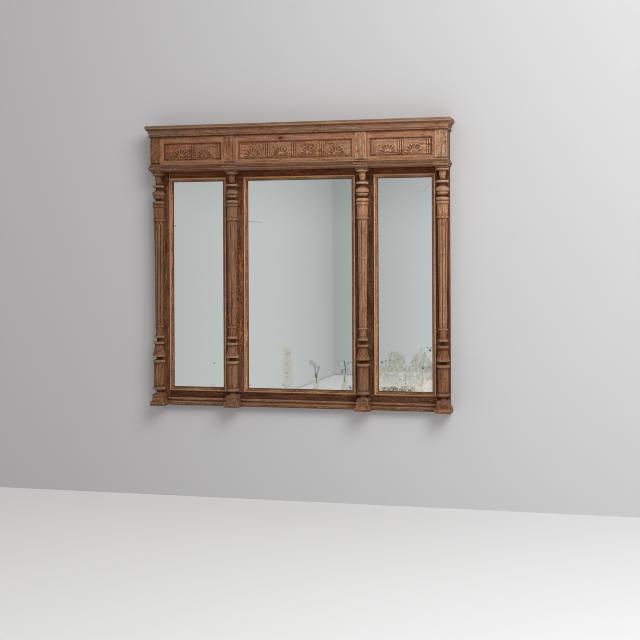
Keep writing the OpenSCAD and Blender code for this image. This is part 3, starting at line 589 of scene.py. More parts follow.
# %% [markdown]
# ## Trees that make geometry
# A column and a carved panel repeat one rule round an axis or along a field, so Geometry Nodes make them.
# The tree's sizes are named inputs. Running the tree gives a plain mesh, because an exported mesh can't
# keep a modifier. Its faces are then checked: closed, and turned outwards.

# %% Helpers for geometry trees
def stored(geometry, title, value):
    """Keeps a number on each point, for a material to read."""
    return wired(geometry.id_data, "GeometryNodeStoreNamedAttribute", data_type="FLOAT", domain="POINT",
                 Geometry=geometry, Name=title, Value=value).outputs[0]


def finished(geometry, material, result):
    """Ends a tree with real geometry, dressed in its material, and returns the tree."""
    tree = geometry.id_data
    real = wired(tree, "GeometryNodeRealizeInstances", Geometry=geometry)
    dressed = wired(tree, "GeometryNodeSetMaterial", Geometry=real.outputs[0], Material=material)
    fill(result, Geometry=dressed.outputs[0])
    return tree


def closed_outward(mesh):
    """Turns the faces outwards and counts the edges that don't join two faces."""
    shape = bmesh.new()
    shape.from_mesh(mesh)
    bmesh.ops.recalc_face_normals(shape, faces=shape.faces)
    if shape.calc_volume(signed=True) < 0:
        bmesh.ops.reverse_faces(shape, faces=shape.faces)
    loose = sum(1 for edge in shape.edges if len(edge.link_faces) != 2)
    shape.to_mesh(mesh)
    shape.free()
    return loose


def grown(name, mesh, tree, values, sharp_angle):
    """Runs a tree on a mesh and returns the result as a plain piece at the origin."""
    piece = bpy.data.objects.new(name, mesh)
    scene.collection.objects.link(piece)
    modifier = piece.modifiers.new("shape", "NODES")
    modifier.node_group = tree
    for socket in tree.interface.items_tree:
        if socket.name in values:
            modifier[socket.identifier] = values[socket.name]
    depsgraph = bpy.context.evaluated_depsgraph_get()
    plain_mesh = bpy.data.meshes.new_from_object(piece.evaluated_get(depsgraph))
    piece.modifiers.remove(modifier)
    piece.data = plain_mesh
    loose = closed_outward(plain_mesh)
    plain_mesh.shade_smooth()
    plain_mesh.set_sharp_from_angle(angle=math.radians(sharp_angle))
    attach(piece, "root")
    show(name, f"{len(plain_mesh.polygons)} faces, {loose} open edges")
    return piece


print("geometry helpers are ready")

# %% [markdown]
# ## The outline of a column
# A turner works from an outline: how thick the wood is at each height. This one has the rings, necks and
# the ball of the real column in hundredths of its foot and of its head. The lower drum and the flared
# bell were then planed to eight sides, so their points carry a mark that says so.

# %% Outline helpers
foot_height = 0.340
head_height = 0.246
plinth_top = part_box("plinth_outer_left")[1].z
abacus_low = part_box("abacus_outer_left")[0].z
dowel_low, dowel_high = (corner.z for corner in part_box("column_outer_left"))


def low(hundredths):
    return plinth_top + foot_height * hundredths / 100


def high(hundredths):
    return abacus_low - head_height * hundredths / 100


def half_round(level, start, end, radius, swell=0.3, steps=8):
    """A ring: half of an ellipse that stands out from the neck."""
    depth = (level(end) - level(start)) * swell
    angles = [math.pi * (step / steps - 0.5) for step in range(steps + 1)]
    return [(radius - depth + depth * math.cos(a), (start + end) / 2 + (end - start) / 2 * math.sin(a))
            for a in angles]


def straight(radius, start, end):
    return [(radius, start), (radius, end)]


def flowing(points, steps=5):
    """A smooth curve through a few points of the outline."""
    knots = [points[0], *points, points[-1]]
    line = [points[0]]
    for before, start, end, after in zip(knots, knots[1:], knots[2:], knots[3:]):
        for step in range(1, steps + 1):
            t = step / steps
            line.append(tuple(
                0.5 * (2 * b + (c - a) * t + (2 * a - 5 * b + 4 * c - d) * t * t
                       + (3 * b - a - 3 * c + d) * t ** 3)
                for a, b, c, d in zip(before, start, end, after)))
    return line


show("a column runs from and to", (round(dowel_low, 3), round(dowel_high, 3)))

# %% Sizes of a column
ring = 0.031
neck = 0.0125
small = ring * 0.53
disc = ring * 0.96
drum = 0.0245
shaft_foot = 0.0175
shaft_top = 0.023
dowel = 0.009
bell_foot = ring * 0.955
bell_top = ring * 0.62
bell_lip, bell_end = 56.7, 72.1
bell_rows = 12
eight_side_step = 0.0015
shaft_low, shaft_high = low(100), high(100)


def bell_half(share):
    """Half the width of the bell at a share of its height above its lip."""
    return bell_foot - (bell_foot - bell_top) * (1 - (1 - share) ** 1.6)


show("largest radius", ring)

# %% The outline from the plinth up to the shaft
def foot_outline(turn):
    turn([(neck * 1.25, 0), (neck * 1.08, 2.2), (neck * 1.35, 4), (ring * 0.78, 5.4)], smooth=True)
    turn(half_round(low, 5.6, 9.6, ring))
    turn(straight(drum - eight_side_step, 9.6, 9.9))
    turn(straight(drum, 9.9, 44.2), eight_sided=1.0)
    turn(straight(drum - eight_side_step, 44.2, 44.8))
    turn(half_round(low, 44.8, 49.3, ring))
    turn([(neck * 1.25, 49.6), (neck * 1.05, 51.6), (neck * 1.1, 53.4), (neck * 1.4, 54.4)], smooth=True)
    turn([(bell_foot, 54.4)], eight_sided=1.0)
    turn([(bell_half(row / bell_rows), bell_lip + (bell_end - bell_lip) * row / bell_rows)
          for row in range(bell_rows + 1)], eight_sided=1.0)
    turn(straight(bell_top - eight_side_step, bell_end, 72.4))
    turn(half_round(low, 72.4, 76.2, ring * 0.87))
    turn([(neck * 0.95, 76.6), (neck * 0.88, 79), (neck * 0.95, 81.2)], smooth=True)
    turn([(ring * 0.72, 81.7), (ring * 0.83, 82.6), (ring * 0.82, 83.6), (ring * 0.70, 84.9),
          (small * 1.05, 87), (small * 0.98, 92), (small * 1.04, 97.5)], smooth=True)
    turn(half_round(low, 97.8, 99.8, ring * 0.73))


print("the foot has a drum, a bell and a knop")

# %% The outline from the shaft up to the abacus
def head_outline(turn):
    turn(half_round(high, 97, 94, disc))
    turn(straight(shaft_top * 1.1, 93.7, 70.5))
    turn(half_round(high, 70, 63.8, disc, swell=0.42))
    turn(straight(ring * 0.84, 63.6, 62.4))
    turn([(ring * 0.90, 62.2), (disc, 60.6), (disc, 58.8), (ring * 0.80, 56.8), (neck * 1.25, 55.4)],
         smooth=True)
    turn([(neck, 54.8), (neck * 1.05, 53.3)])
    turn([(ring * 0.60, 52.4), (ring * 0.74, 50.8), (ring * 0.84, 48.8), (ring * 0.87, 47.2),
          (ring * 0.84, 46.4)], smooth=True)
    turn(straight(ring * 0.76, 46.1, 45.6))
    turn([(ring * 0.92, 45.0), (ring * 1.02, 42.8), (ring, 40.4), (ring * 0.90, 38.4), (ring * 0.74, 36.6),
          (ring * 0.58, 35.1), (neck * 1.18, 33.6), (neck * 1.08, 31.5), (neck * 1.15, 29.4)], smooth=True)
    turn(half_round(high, 28.7, 24.2, disc, swell=0.62))
    turn([(small * 0.86, 23.6), (small * 0.80, 19.5), (small * 0.86, 14.8)], smooth=True)
    turn([(small, 14), (small * 0.98, 9), (small * 1.15, 5.2), (ring * 0.84, 3.8), (disc, 2.9), (disc, 1.1),
          (ring * 0.86, 0)], smooth=True)


def column_outline():
    rows = [(0.0, dowel_low, 0.0), (dowel, dowel_low, 0.0), (dowel, plinth_top, 0.0)]

    def turner(level):
        def turn(points, smooth=False, eight_sided=0.0):
            line = flowing(points) if smooth else points
            rows.extend((radius, level(hundredths), eight_sided) for radius, hundredths in line)
        return turn

    foot_outline(turner(low))
    rows.extend([(shaft_foot, shaft_low, 0.0), (shaft_top, shaft_high, 0.0), (shaft_top, high(97.2), 0.0)])
    head_outline(turner(high))
    return rows + [(dowel, abacus_low, 0.0), (dowel, dowel_high, 0.0), (0.0, dowel_high, 0.0)]


show("points in the plain outline", len(column_outline()))

# %% [markdown]
# The outline still has knife-sharp corners and long gaps. Real corners are a little blunt, and the shaft
# needs many rows, because the ends of its flutes are round. So each corner gets a small chamfer and long
# stretches are divided, most finely where a flute begins or ends. Each row also gets a mark for how far
# it stands out from its neighbours, so that the oak paints shade into a neck and a highlight onto a ring.

# %% Blunt corners and even rows
corner_cut = 0.0005
row_gap = 0.0050
fine_gap = 0.0008
flute_stop = 0.012
flute_low, flute_high = shaft_low + flute_stop, shaft_high - flute_stop


def blunted(rows):
    line = [rows[0]]
    for before, here, after in zip(rows, rows[1:], rows[2:]):
        back = Vector(before[:2]) - Vector(here[:2])
        ahead = Vector(after[:2]) - Vector(here[:2])
        if min(back.length, ahead.length) > 3 * corner_cut and back.angle(ahead) < math.radians(140):
            line += [(*(Vector(here[:2]) + arm.normalized() * corner_cut), here[2]) for arm in (back, ahead)]
        else:
            line.append(here)
    return line + [rows[-1]]


def divided(rows):
    line = [rows[0]]
    for start, end in zip(rows, rows[1:]):
        steps = max(1, math.ceil(math.dist(start[:2], end[:2]) / row_gap))
        for step in range(1, steps + 1):
            line.append(tuple(a + (b - a) * (step / steps) for a, b in zip(start, end)))
    return line


def with_flute_ends(rows):
    """Adds fine rows round both ends of the flutes."""
    extra = []
    for end in (flute_low, flute_high):
        for step in range(-5, 6):
            height = end + step * fine_gap
            share = (height - shaft_low) / (shaft_high - shaft_low)
            extra.append((shaft_foot + (shaft_top - shaft_foot) * share, height, 0.0))
    inside = [row for row in rows if shaft_low < row[1] < shaft_high and row[0] > dowel]
    first = rows.index(inside[0])
    kept = [row for row in inside if all(abs(row[1] - new[1]) > fine_gap * 0.5 for new in extra)]
    return rows[:first] + sorted(kept + extra, key=lambda row: row[1]) + rows[first + len(inside):]


print("flutes run between", round(flute_low, 3), "and", round(flute_high, 3))

# %% How far each row stands out
look_around = [step * 0.003 for step in (-4, -3, -2, -1, 1, 2, 3, 4)]
full_relief = 0.010


def radius_at(rows, height):
    for (r0, h0, _), (r1, h1, _) in zip(rows, rows[1:]):
        if h0 <= height <= h1 and h1 > h0:
            return r0 + (r1 - r0) * (height - h0) / (h1 - h0)
    return rows[0][0]


def relief_of(rows):
    """How far each row stands out from the rows a little above and below it, from -1 to 1."""
    marks = []
    for radius, height, _ in rows:
        nearby = sum(radius_at(rows, height + gap) for gap in look_around) / len(look_around)
        marks.append(max(-1.0, min(1.0, (radius - nearby) / full_relief)))
    return marks


outline = with_flute_ends(divided(blunted(column_outline())))
outline_relief = relief_of(outline)
show("rows in the finished outline", len(outline))

# %% Flats, flutes and wear
flute_depth = 1.12
arris_limit = 1.074


def folded(angle, slice_angle):
    """The angle from the middle of the nearest flat or flute."""
    return (angle + slice_angle * 0.5).math("FLOORED_MODULO", slice_angle) - slice_angle * 0.5


def planed(radius, angle, eight_sided):
    """Eight sides: the wood reaches further out towards a corner, and the arris there is a little blunt."""
    to_corner = (1.0 / folded(angle, math.pi / 4).cosine()).at_most(arris_limit)
    return radius * (eight_sided * (to_corner - 1.0) + 1.0)


def flute(radius, angle, height, given):
    """A round groove whose ends are round too: how deep it is, and a mark for the painted shade in it."""
    flute_radius = radius * given["Flute share"]
    aside = folded(angle, 2 * math.pi / given["Flutes"]) * radius
    beyond = (given["Flute low"] - height).at_least(height - given["Flute high"]).at_least(0.0)
    room = flute_radius * flute_radius - aside * aside - beyond * beyond
    on_shaft = (height - shaft_low).above(0.0) * (shaft_high - height).above(0.0)
    groove = room.at_least(0.0).root() * on_shaft * flute_depth
    return groove, ramp(groove / flute_radius, 0.15, 0.60)


def worn(radius, angle, height, given):
    """A slow unevenness and small nicks, none of it on the hidden dowels."""
    spot = joined(radius * angle.cosine(), radius * angle.sine(), height + given["Seed"])
    uneven = noise_at(spot, scale=70.0, detail=3.0) - 0.5
    nick = ramp(noise_at(spot, scale=190.0, detail=2.0), 0.66, 0.76)
    return (uneven * -2.0 + nick * 2.5) * given["Wear"] * ramp(radius, dowel * 1.05, dowel * 1.3)


print("flats, flutes and wear are ready")

# %% The column tree
weld = 0.00001


def column_tree():
    tree, given, result = named_tree("turned_column", "GeometryNodeTree", {
        "Geometry": "Geometry", "Axis": "Vector", "Around": "Int", "Flutes": "Float", "Flute low": "Float",
        "Flute high": "Float", "Flute share": "Float", "Wear": "Float", "Seed": "Float", "Oak": "Material"},
        {"Geometry": "Geometry"})

    # a sheet with one row for each point of the outline, and the angle across it
    count = wired(tree, "GeometryNodeAttributeDomainSize", Geometry=given["Geometry"]).outputs["Point Count"]
    last_row = Formula(count) - 1.0
    sheet = wired(tree, "GeometryNodeMeshGrid", Size_X=2 * math.pi, Size_Y=last_row,
                  Vertices_X=given["Around"] + 1.0, Vertices_Y=count)
    position = tree.nodes.new("GeometryNodeInputPosition").outputs[0]
    angle, across, _ = split(position)
    row = (across + last_row * 0.5).math("ROUND")

    def sampled(kind, field):
        """What the outline's own point for this row says."""
        return wired(tree, "GeometryNodeSampleIndex", data_type=kind, Geometry=given["Geometry"],
                     Value=field, Index=row).outputs[0]

    def marked_row(title):
        mark = wired(tree, "GeometryNodeInputNamedAttribute", Name=title)
        return Formula(sampled("FLOAT", mark.outputs["Attribute"]))

    radius, _, height = split(sampled("FLOAT_VECTOR", position))
    groove, flute_shade = flute(radius, angle, height, given)
    final = planed(radius, angle, marked_row("eight_sided")) - groove - worn(radius, angle, height, given)
    turned = joined(final * angle.cosine(), final * angle.sine(), height)

    # the marks are kept first, because a node sees the places of the points as they are when it runs
    stands_out = marked_row("stands_out")
    # painted shade in necks and flutes, and a painted highlight on rings, kept as marks for the oak
    hollow = (stands_out * -2.0).at_least(0.0).at_most(1.0).at_least(flute_shade)
    kept = stored(sheet.outputs["Mesh"], "hollow", hollow)
    kept = stored(kept, "crest_highlight", ramp(stands_out, 0.20, 0.75))
    placed = wired(tree, "GeometryNodeSetPosition", Geometry=kept,
                   Position=vector_math("ADD", turned, given["Axis"]).outputs[0])
    sewn = wired(tree, "GeometryNodeMergeByDistance", Geometry=placed.outputs[0], Distance=weld)
    return finished(sewn.outputs[0], given["Oak"], result)


column_shape = column_tree()
show("nodes in the column tree", len(column_shape.nodes))

# %% The four columns
around = 176
flute_count = 8
flute_share = 0.113
column_wear = 0.00022


def outline_mesh():
    """The outline as a line of points that carry their marks."""
    mesh = bpy.data.meshes.new("column_outline")
    mesh.from_pydata([(radius, 0.0, height) for radius, height, _ in outline],
                     [(index, index + 1) for index in range(len(outline) - 1)], [])
    for title, marks in (("eight_sided", [row[2] for row in outline]), ("stands_out", outline_relief)):
        mesh.attributes.new(title, "FLOAT", "POINT").data.foreach_set("value", marks)
    return mesh


for seed, (place, finish) in enumerate(zip(column_places, ["column_oak_shaded_side"] * 2 + ["column_oak_lit_side"] * 2)):
    near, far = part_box(f"column_{place}")
    column = grown(f"turned_column_{place}", outline_mesh(), column_shape, {
        "Axis": ((near.x + far.x) / 2, (near.y + far.y) / 2, 0.0), "Around": around,
        "Flutes": float(flute_count), "Flute low": flute_low, "Flute high": flute_high,
        "Flute share": flute_share, "Wear": column_wear, "Seed": seed * 2.7,
        "Oak": oak_finishes[finish]}, sharp_angle=38)
    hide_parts(f"column_{place}")

# %% [markdown]
# ## The carved fans
# A carver sinks seven gouge cuts into a half-round, leaves ridges between them, and repeats it along the
# field with reeds in between. A rule in three steps makes it: fold the field at each fan, measure angle
# and distance from the fan's foot, and work out how high the wood stands. The surface is a fine sheet on
# the front of a closed slab. Shade is painted into the petals, the valleys and the punched ground, so the
# same rule also marks these for the oak.

# %% Fans
ground_depth = 0.004
relief_height = 0.0056
fan_radius = 0.045
fan_foot = 0.010
petal_count = 7
reed_radius = 0.0041
reed_gap = reed_radius * 2.3
reed_margin = 0.002
lip_depth = 0.0022
punch_depth = 0.0007
cell = 0.00105


def groove_line(away, start, end):
    """A thin line of painted shade: 1 where away is under start, 0 from end on."""
    return fall(away.size(), start, end)


def fan_relief(aside, rise, outer, relief, petals):
    """How high a fan stands, and where painted shade lies: in the petals, round the fan and under it."""
    reach = distance(aside, rise)
    angle = rise.math("ARCTAN2", aside).at_least(0.0)

    # a petal is an ellipse hollowed along a ray, blunt outside and pointed inside
    petal_angle = math.pi / petals
    off_ray = ((angle / petal_angle).math("FRACT") - 0.5) * petal_angle * reach
    half_petal = petal_angle * reach * 0.43
    along_ray = (reach - outer * 0.62) / (outer * 0.33)
    across_ray = off_ray / half_petal.at_least(0.0001)
    petal = (1.0 - along_ray * along_ray - across_ray * across_ray).at_least(0.0).root() * relief * 0.95
    eye_hollow = fall(reach, outer * 0.13, outer * 0.19) * relief
    half_disc = fall(reach, outer * 0.93, outer) * ramp(rise, -0.0012, 0.0002)
    fan = (half_disc * relief - (petal + eye_hollow) * half_disc).at_least(0.0)

    cut = ramp(petal * half_disc, relief * 0.30, relief * 0.80)
    rim = groove_line(reach - outer, 0.0006, 0.0018) * ramp(rise, -0.002, 0.0) * 0.8
    under = groove_line(rise + 0.0012, 0.0008, 0.0018) * fall(reach, outer, outer * 1.03)
    return fan, strongest([cut, rim, under])


show("petals in a fan", petal_count)

# %% Reeds
def reed(off_centre):
    return (reed_radius * reed_radius - off_centre * off_centre).at_least(0.0).root()


def reed_relief(from_border, between, from_end, end):
    """Three reeds between fans, two at each end of a side panel, and the painted shade in the valleys beside
    them.
    """
    has_end = end.above(0.001)
    from_middle = (from_end - end * 0.5).size()
    reeds = reed(from_border).at_least(reed(from_border - reed_gap)) * between
    end_reeds = reed(from_middle - reed_gap * 0.5) * has_end
    valley = (from_border - reed_gap * 0.5).size().at_most((from_border - reed_gap * 1.45).size())
    end_valley = from_middle.at_most((from_middle - reed_gap).size())
    valley_shade = groove_line(valley, 0.0012, 0.0030) * between
    end_valley_shade = groove_line(end_valley, 0.0012, 0.0030) * has_end
    return reeds.at_least(end_reeds), valley_shade.at_least(end_valley_shade)


show("from reed to reed in metres", round(reed_gap, 4))

# %% The carving tree
def carving_tree():
    tree, given, result = named_tree("carved_field", "GeometryNodeTree", {
        "Geometry": "Geometry", "Middle": "Vector", "Size": "Vector", "Cells x": "Int", "Cells z": "Int",
        "Fans": "Float", "End": "Float", "Fan radius": "Float", "Petals": "Float", "Relief": "Float",
        "Seed": "Float", "Oak": "Material"}, {"Geometry": "Geometry"})
    fans, end = given["Fans"], given["End"]
    width, _, height = split(given["Size"])
    slab = wired(tree, "GeometryNodeMeshCube", Size=given["Size"], Vertices_X=given["Cells x"], Vertices_Y=2,
                 Vertices_Z=given["Cells z"])
    x, y, z = split(tree.nodes.new("GeometryNodeInputPosition").outputs[0])
    along, up = x + width * 0.5, z + height * 0.5
    front = (y * -1.0).above(0.0)
    from_end, from_edge = along.at_most(width - along), up.at_most(height - up)

    # the field is folded at each fan, and the reeds stand on the borders between the fans
    pitch = (width - end * 2.0) / fans
    inner = along - end
    turn = (inner / pitch).math("FLOOR").at_least(0.0).at_most(fans - 1.0)
    fan, fan_shade = fan_relief(inner - (turn + 0.5) * pitch, up - fan_foot, given["Fan radius"],
                                given["Relief"], given["Petals"])
    border = (inner / pitch).math("ROUND")
    reeds, reed_shade = reed_relief((inner - border * pitch).size(),
                                    border.above(0.5) * (fans - 0.5).above(border), from_end, end)
    carved = fan.at_least(reeds * ramp(from_edge, reed_margin * 0.7, reed_margin * 1.3))

    # a punched ground, the unevenness of handwork and a low lip round the field
    spot = joined(x, z, y + given["Seed"])
    punched = ramp(noise_at(spot, scale=330.0, detail=1.0), 0.42, 0.62) * fall(carved, 0.0, 0.0012)
    uneven = (noise_at(spot, scale=90.0, detail=3.0) - 0.5) * 0.0007
    lip = ramp(from_edge.at_most(from_end), 0.0, 0.0030) - 1.0
    lift = (carved - punched * punch_depth + uneven + lip * lip_depth) * front

    # painted shade in the petals, in the valleys and on the punched ground
    hollow = strongest([fan_shade, reed_shade, punched * 0.455]) * front
    marked = stored(slab.outputs["Mesh"], "hollow", hollow)
    place = vector_math("ADD", joined(x, y - lift, z), given["Middle"]).outputs[0]
    placed = wired(tree, "GeometryNodeSetPosition", Geometry=marked, Position=place)
    return finished(placed.outputs[0], given["Oak"], result)


carving_shape = carving_tree()
show("nodes in the carving tree", len(carving_shape.nodes))

# %% The three carved panels
end_width = reed_gap * 2.2

for seed, (place, fans, end) in enumerate(zip(thirds, (2, 4, 2), (end_width, 0.0, end_width))):
    near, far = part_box(f"carved_panel_{place}")
    slab_front = far.y - ground_depth
    width, height = far.x - near.x, far.z - near.z
    carving = grown(f"carved_field_{place}", bpy.data.meshes.new("carving"), carving_shape, {
        "Middle": ((near.x + far.x) / 2, (slab_front + far.y) / 2, (near.z + far.z) / 2),
        "Size": (width, ground_depth, height), "Cells x": round(width / cell),
        "Cells z": round(height / cell), "Fans": float(fans), "End": end, "Fan radius": fan_radius,
        "Petals": float(petal_count), "Relief": relief_height, "Seed": seed * 1.9,
        "Oak": oak_finishes["carved_oak"]}, sharp_angle=60)
    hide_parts(f"carved_panel_{place}")

# %% [markdown]
# ## Pine, iron and silvered glass
# The hidden boards and blocks are pine, browned by age. Wide ones are glued up from narrow boards, so the
# rings start anew at each joint. The plates and screws are iron with a little rust. A mirror is a
# polished metal film behind glass, so its material is metal under a clear coat.

# %% Pine
pine_board_width = 0.155
pine_ring = 0.00085


def pine(name, grain, seed):
    material, shader, place = new_material(name)
    x, y, z = split(along_grain(place, grain, (seed * 2.3, 0.031 * seed, 0.06)))
    board = (z / pine_board_width).math("FLOOR")
    sway = noise_at(joined(x * 1.3 + board * 3.1, y * 6.0, z * 7.0), detail=2.0)
    upward = z - (board + 0.5) * pine_board_width + sway * 0.030
    rings = (distance(y + 0.035 + sway * 0.020, upward) / pine_ring).sine()
    fibre = drawn_out((x, y, z), 5.0, 180.0, detail=4.0)
    dusty = noise_at(place, scale=9.0, detail=4.0, roughness=0.6)
    colour = layered(srgb(178, 144, 102), (ramp(rings, -0.2, 1.0), srgb(136, 94, 57)),
                     (ramp(fibre, 0.42, 0.62) * 0.45, srgb(112, 80, 52)),
                     (ramp(dusty, 0.45, 0.7) * 0.45, srgb(118, 102, 86)))
    fill(shader, Base_Color=colour, Roughness=0.74 + fibre * 0.16, Specular_IOR_Level=0.25)
    bumpy(shader, fibre + rings * 0.15, 0.5, 0.0005)
    return material


dress(each("backboard", thirds) + ["backboard_rub_blocks", "glass_packing_blocks"],
      pine("backboard_pine", "z", 1))
dress(["dust_board", "frieze_glue_blocks"], pine("dust_board_pine", "x", 2))
print("pine ready")

# %% Iron
def iron(name):
    material, shader, place = new_material(name)
    rust = noise_at(place, scale=160.0, detail=5.0, roughness=0.6)
    patch = noise_at(place, scale=38.0, detail=3.0)
    rusty = ramp(rust * 0.5 + patch * 0.5, 0.44, 0.60)
    fill(shader, Base_Color=mixed(rusty, srgb(92, 88, 84), srgb(104, 66, 44)), Roughness=0.42 + rusty * 0.4,
         Metallic=0.9 - rusty * 0.8)
    bumpy(shader, rust, 0.4, 0.0003)
    return material


dress(["hanging_plates", "hanging_screws"], iron("forged_iron"))
print("iron ready")

# %% [markdown]
# Damp has crept up behind the old glass. It left yellow plumes with dark outlines at the foot of the
# centre glass, a crackled field at the foot of the right one, and black dots where the silver has gone.
# Each is a mask at its measured place. Where a mask is strong, the metal turns into a dull cream or
# nearly black film. Edges that are too even would look printed, so one noise wavers all of them.

# %% Strokes and blots
def stroke(spot, start, end, half):
    """A brush stroke: 1 on the line from start to end, 0 beyond half a width from it."""
    x, z, waver = spot
    run_x, run_z = end[0] - start[0], end[1] - start[1]
    along = ((x - start[0]) * run_x + (z - start[1]) * run_z) / (run_x * run_x + run_z * run_z)
    along = along.at_least(0.0).at_most(1.0)
    away = distance(x - start[0] - along * run_x, z - start[1] - along * run_z)
    return fall(away + waver * half, half * 0.6, half * 1.5)


def blot(spot, middle, half_width, half_height, soft=0.3):
    """A spot: 1 inside an ellipse, 0 outside it."""
    x, z, waver = spot
    away = distance((x - middle[0]) / half_width, (z - middle[1]) / half_height)
    return fall(away + waver * 1.2, 1.0 - soft, 1.0 + soft)


print("strokes and blots ready")

# %% Where the damp has been
glass_foot = 0.090

# pale plumes at the foot of the centre glass: middle, top, half width at the top and foot, strength
plumes = [(-0.064, 0.314, 0.026, 0.030, 0.72), (0.083, 0.172, 0.010, 0.015, 0.85),
          (0.226, 0.168, 0.009, 0.022, 0.75)]

# dark outlines that curl like tendrils over the second and third plume: start, end, half width, strength
tendrils = [((0.056, 0.224), (0.082, 0.204), 0.010, 0.60), ((0.074, 0.204), (0.081, 0.166), 0.0035, 0.8),
            ((0.081, 0.166), (0.083, 0.150), 0.0065, 1.0), ((0.097, 0.202), (0.085, 0.166), 0.0040, 0.85),
            ((0.083, 0.140), (0.083, 0.126), 0.0040, 0.7), ((0.226, 0.233), (0.231, 0.176), 0.0038, 1.0),
            ((0.226, 0.165), (0.225, 0.134), 0.0028, 0.8), ((0.214, 0.190), (0.214, 0.176), 0.0055, 0.9),
            ((0.238, 0.214), (0.245, 0.226), 0.0030, 0.8), ((0.245, 0.226), (0.260, 0.231), 0.0030, 0.7),
            ((0.238, 0.200), (0.246, 0.180), 0.0028, 0.7), ((0.250, 0.110), (0.256, 0.102), 0.0060, 0.8)]

# faint scratches: two near the head of the right glass, one at the left edge of the centre glass
scratches = [((0.578, 1.055), (0.622, 1.060)), ((0.622, 1.060), (0.641, 1.084)),
             ((-0.262, 0.924), (-0.193, 0.916))]
scratch_half = 0.0028

# spots, each with its place and radius: grey ones in the plumes, and black ones
grey_spots = [(0.195, 0.212, 0.004), (-0.069, 0.262, 0.005), (-0.055, 0.270, 0.004), (-0.093, 0.226, 0.004),
              (-0.066, 0.212, 0.004), (-0.066, 0.170, 0.005), (-0.066, 0.150, 0.004), (-0.088, 0.112, 0.006),
              (-0.060, 0.106, 0.004)]
black_spots = [(-0.446, 0.212, 0.004), (-0.653, 0.904, 0.004), (0.648, 0.293, 0.0065), (0.636, 0.305, 0.003),
               (0.653, 0.306, 0.003), (0.622, 0.282, 0.003), (0.412, 0.231, 0.0055), (0.431, 0.238, 0.005),
               (0.447, 0.241, 0.004), (0.613, 0.206, 0.005)]
show("marks of damp", sum(map(len, (plumes, tendrils, scratches, grey_spots, black_spots))))

# %% Plumes, tendrils, spots and scratches
def pale_plumes(spot, crackle):
    x, z, waver = spot
    masks = []
    for middle, top, half_top, half_foot, strength in plumes:
        half = fall(z, glass_foot, top, "LINEAR") * (half_foot - half_top) + half_top
        aside = (x - middle + waver * 0.030).size() / half
        masks.append(fall(aside, 0.50, 1.15) * fall(z + waver * 0.05, top - 0.03, top) * strength)
    parting = fall((x + 0.060 + waver * 0.012).size(), 0.002, 0.006) * fall(z, 0.125, 0.150)
    masks[0] = masks[0] * (1.0 - parting * 0.85)
    masks.append(blot(spot, (-0.454, 0.099), 0.012, 0.010) * 0.7)
    masks.append(blot(spot, (0.210, 0.226), 0.012, 0.012) * 0.35)
    return strongest(masks) * ramp(crackle, 0.30, 0.52)


def curl_of(spot):
    """Most of a thin ring: a tendril that curls back on itself."""
    x, z, waver = spot
    curl_x, curl_z = x - 0.209, z - 0.221
    away = (distance(curl_x, curl_z) - 0.0145).size() + waver * 0.002
    return fall(away, 0.0012, 0.0032) * ramp(curl_z - curl_x * 0.8, -0.012, -0.006)


def dark_marks(spot):
    """Tendrils, spots and scratches on all three glasses."""
    masks = [stroke(spot, start, end, half) * strength for start, end, half, strength in tendrils]
    masks += [stroke(spot, start, end, scratch_half) * 0.42 for start, end in scratches]
    masks += [blot(spot, (x, z), radius, radius) * 0.55 for x, z, radius in grey_spots]
    masks += [blot(spot, (x, z), radius, radius) for x, z, radius in black_spots]
    return masks + [curl_of(spot) * 0.8]


print("plumes, tendrils, spots and scratches ready")

# %% The spoilt foot of the right glass
right_edge_start, right_edge_end = 0.370, 0.372


def spoilt_foot(spot, crackle, grit, drips):
    """Grey-green humps, a cream band with two clear holes over a foul edge, a white patch and a black one."""
    x, z, waver = spot
    on_right = ramp(x, right_edge_start, right_edge_end)
    humps = strongest([blot(spot, (0.482, 0.185), 0.060, 0.102, 0.12),
                       blot(spot, (0.608, 0.185), 0.062, 0.094, 0.12), fall(z, 0.200, 0.225)]) * on_right
    holes = strongest([blot(spot, (0.473, 0.152), 0.028, 0.027), blot(spot, (0.553, 0.158), 0.015, 0.028)])
    band = fall(z + waver * 0.03, 0.182, 0.192) * on_right * (1.0 - holes * 0.9)
    foul = fall(z + waver * 0.05, 0.118, 0.132) * on_right
    cream = band * ramp(crackle * 0.5 + drips * 0.5, 0.42, 0.54) * 0.8
    cream = cream.at_least(foul * ramp(crackle, 0.34, 0.50) * 0.95)
    green = humps * ramp(crackle * 0.7 + drips * 0.3, 0.38, 0.56) * (1.0 - holes * 0.6)
    white = blot(spot, (0.650, 0.115), 0.040, 0.035) * on_right
    black = fall(z + waver * 0.06, 0.104, 0.122) * ramp(x, 0.395, 0.425) * fall(x, 0.560, 0.590)
    return humps, cream, green, white, black * ramp(grit, 0.42, 0.50)


def damp_dots(place, where):
    """Black dots: one in each cell of a pattern, only where the damp reached."""
    cells = wired(place.id_data, "ShaderNodeTexVoronoi", Vector=place, Scale=85.0)
    size = split(cells.outputs["Color"])[0]
    dot = fall(Formula(cells.outputs["Distance"]) / (size * 0.26 + 0.06), 0.70, 1.05)
    return dot * where * ramp(size, 0.25, 0.35)


print("the spoilt foot of the right glass is ready")

# %% Silvered glass with traces of damp
silver = srgb(239, 242, 242)


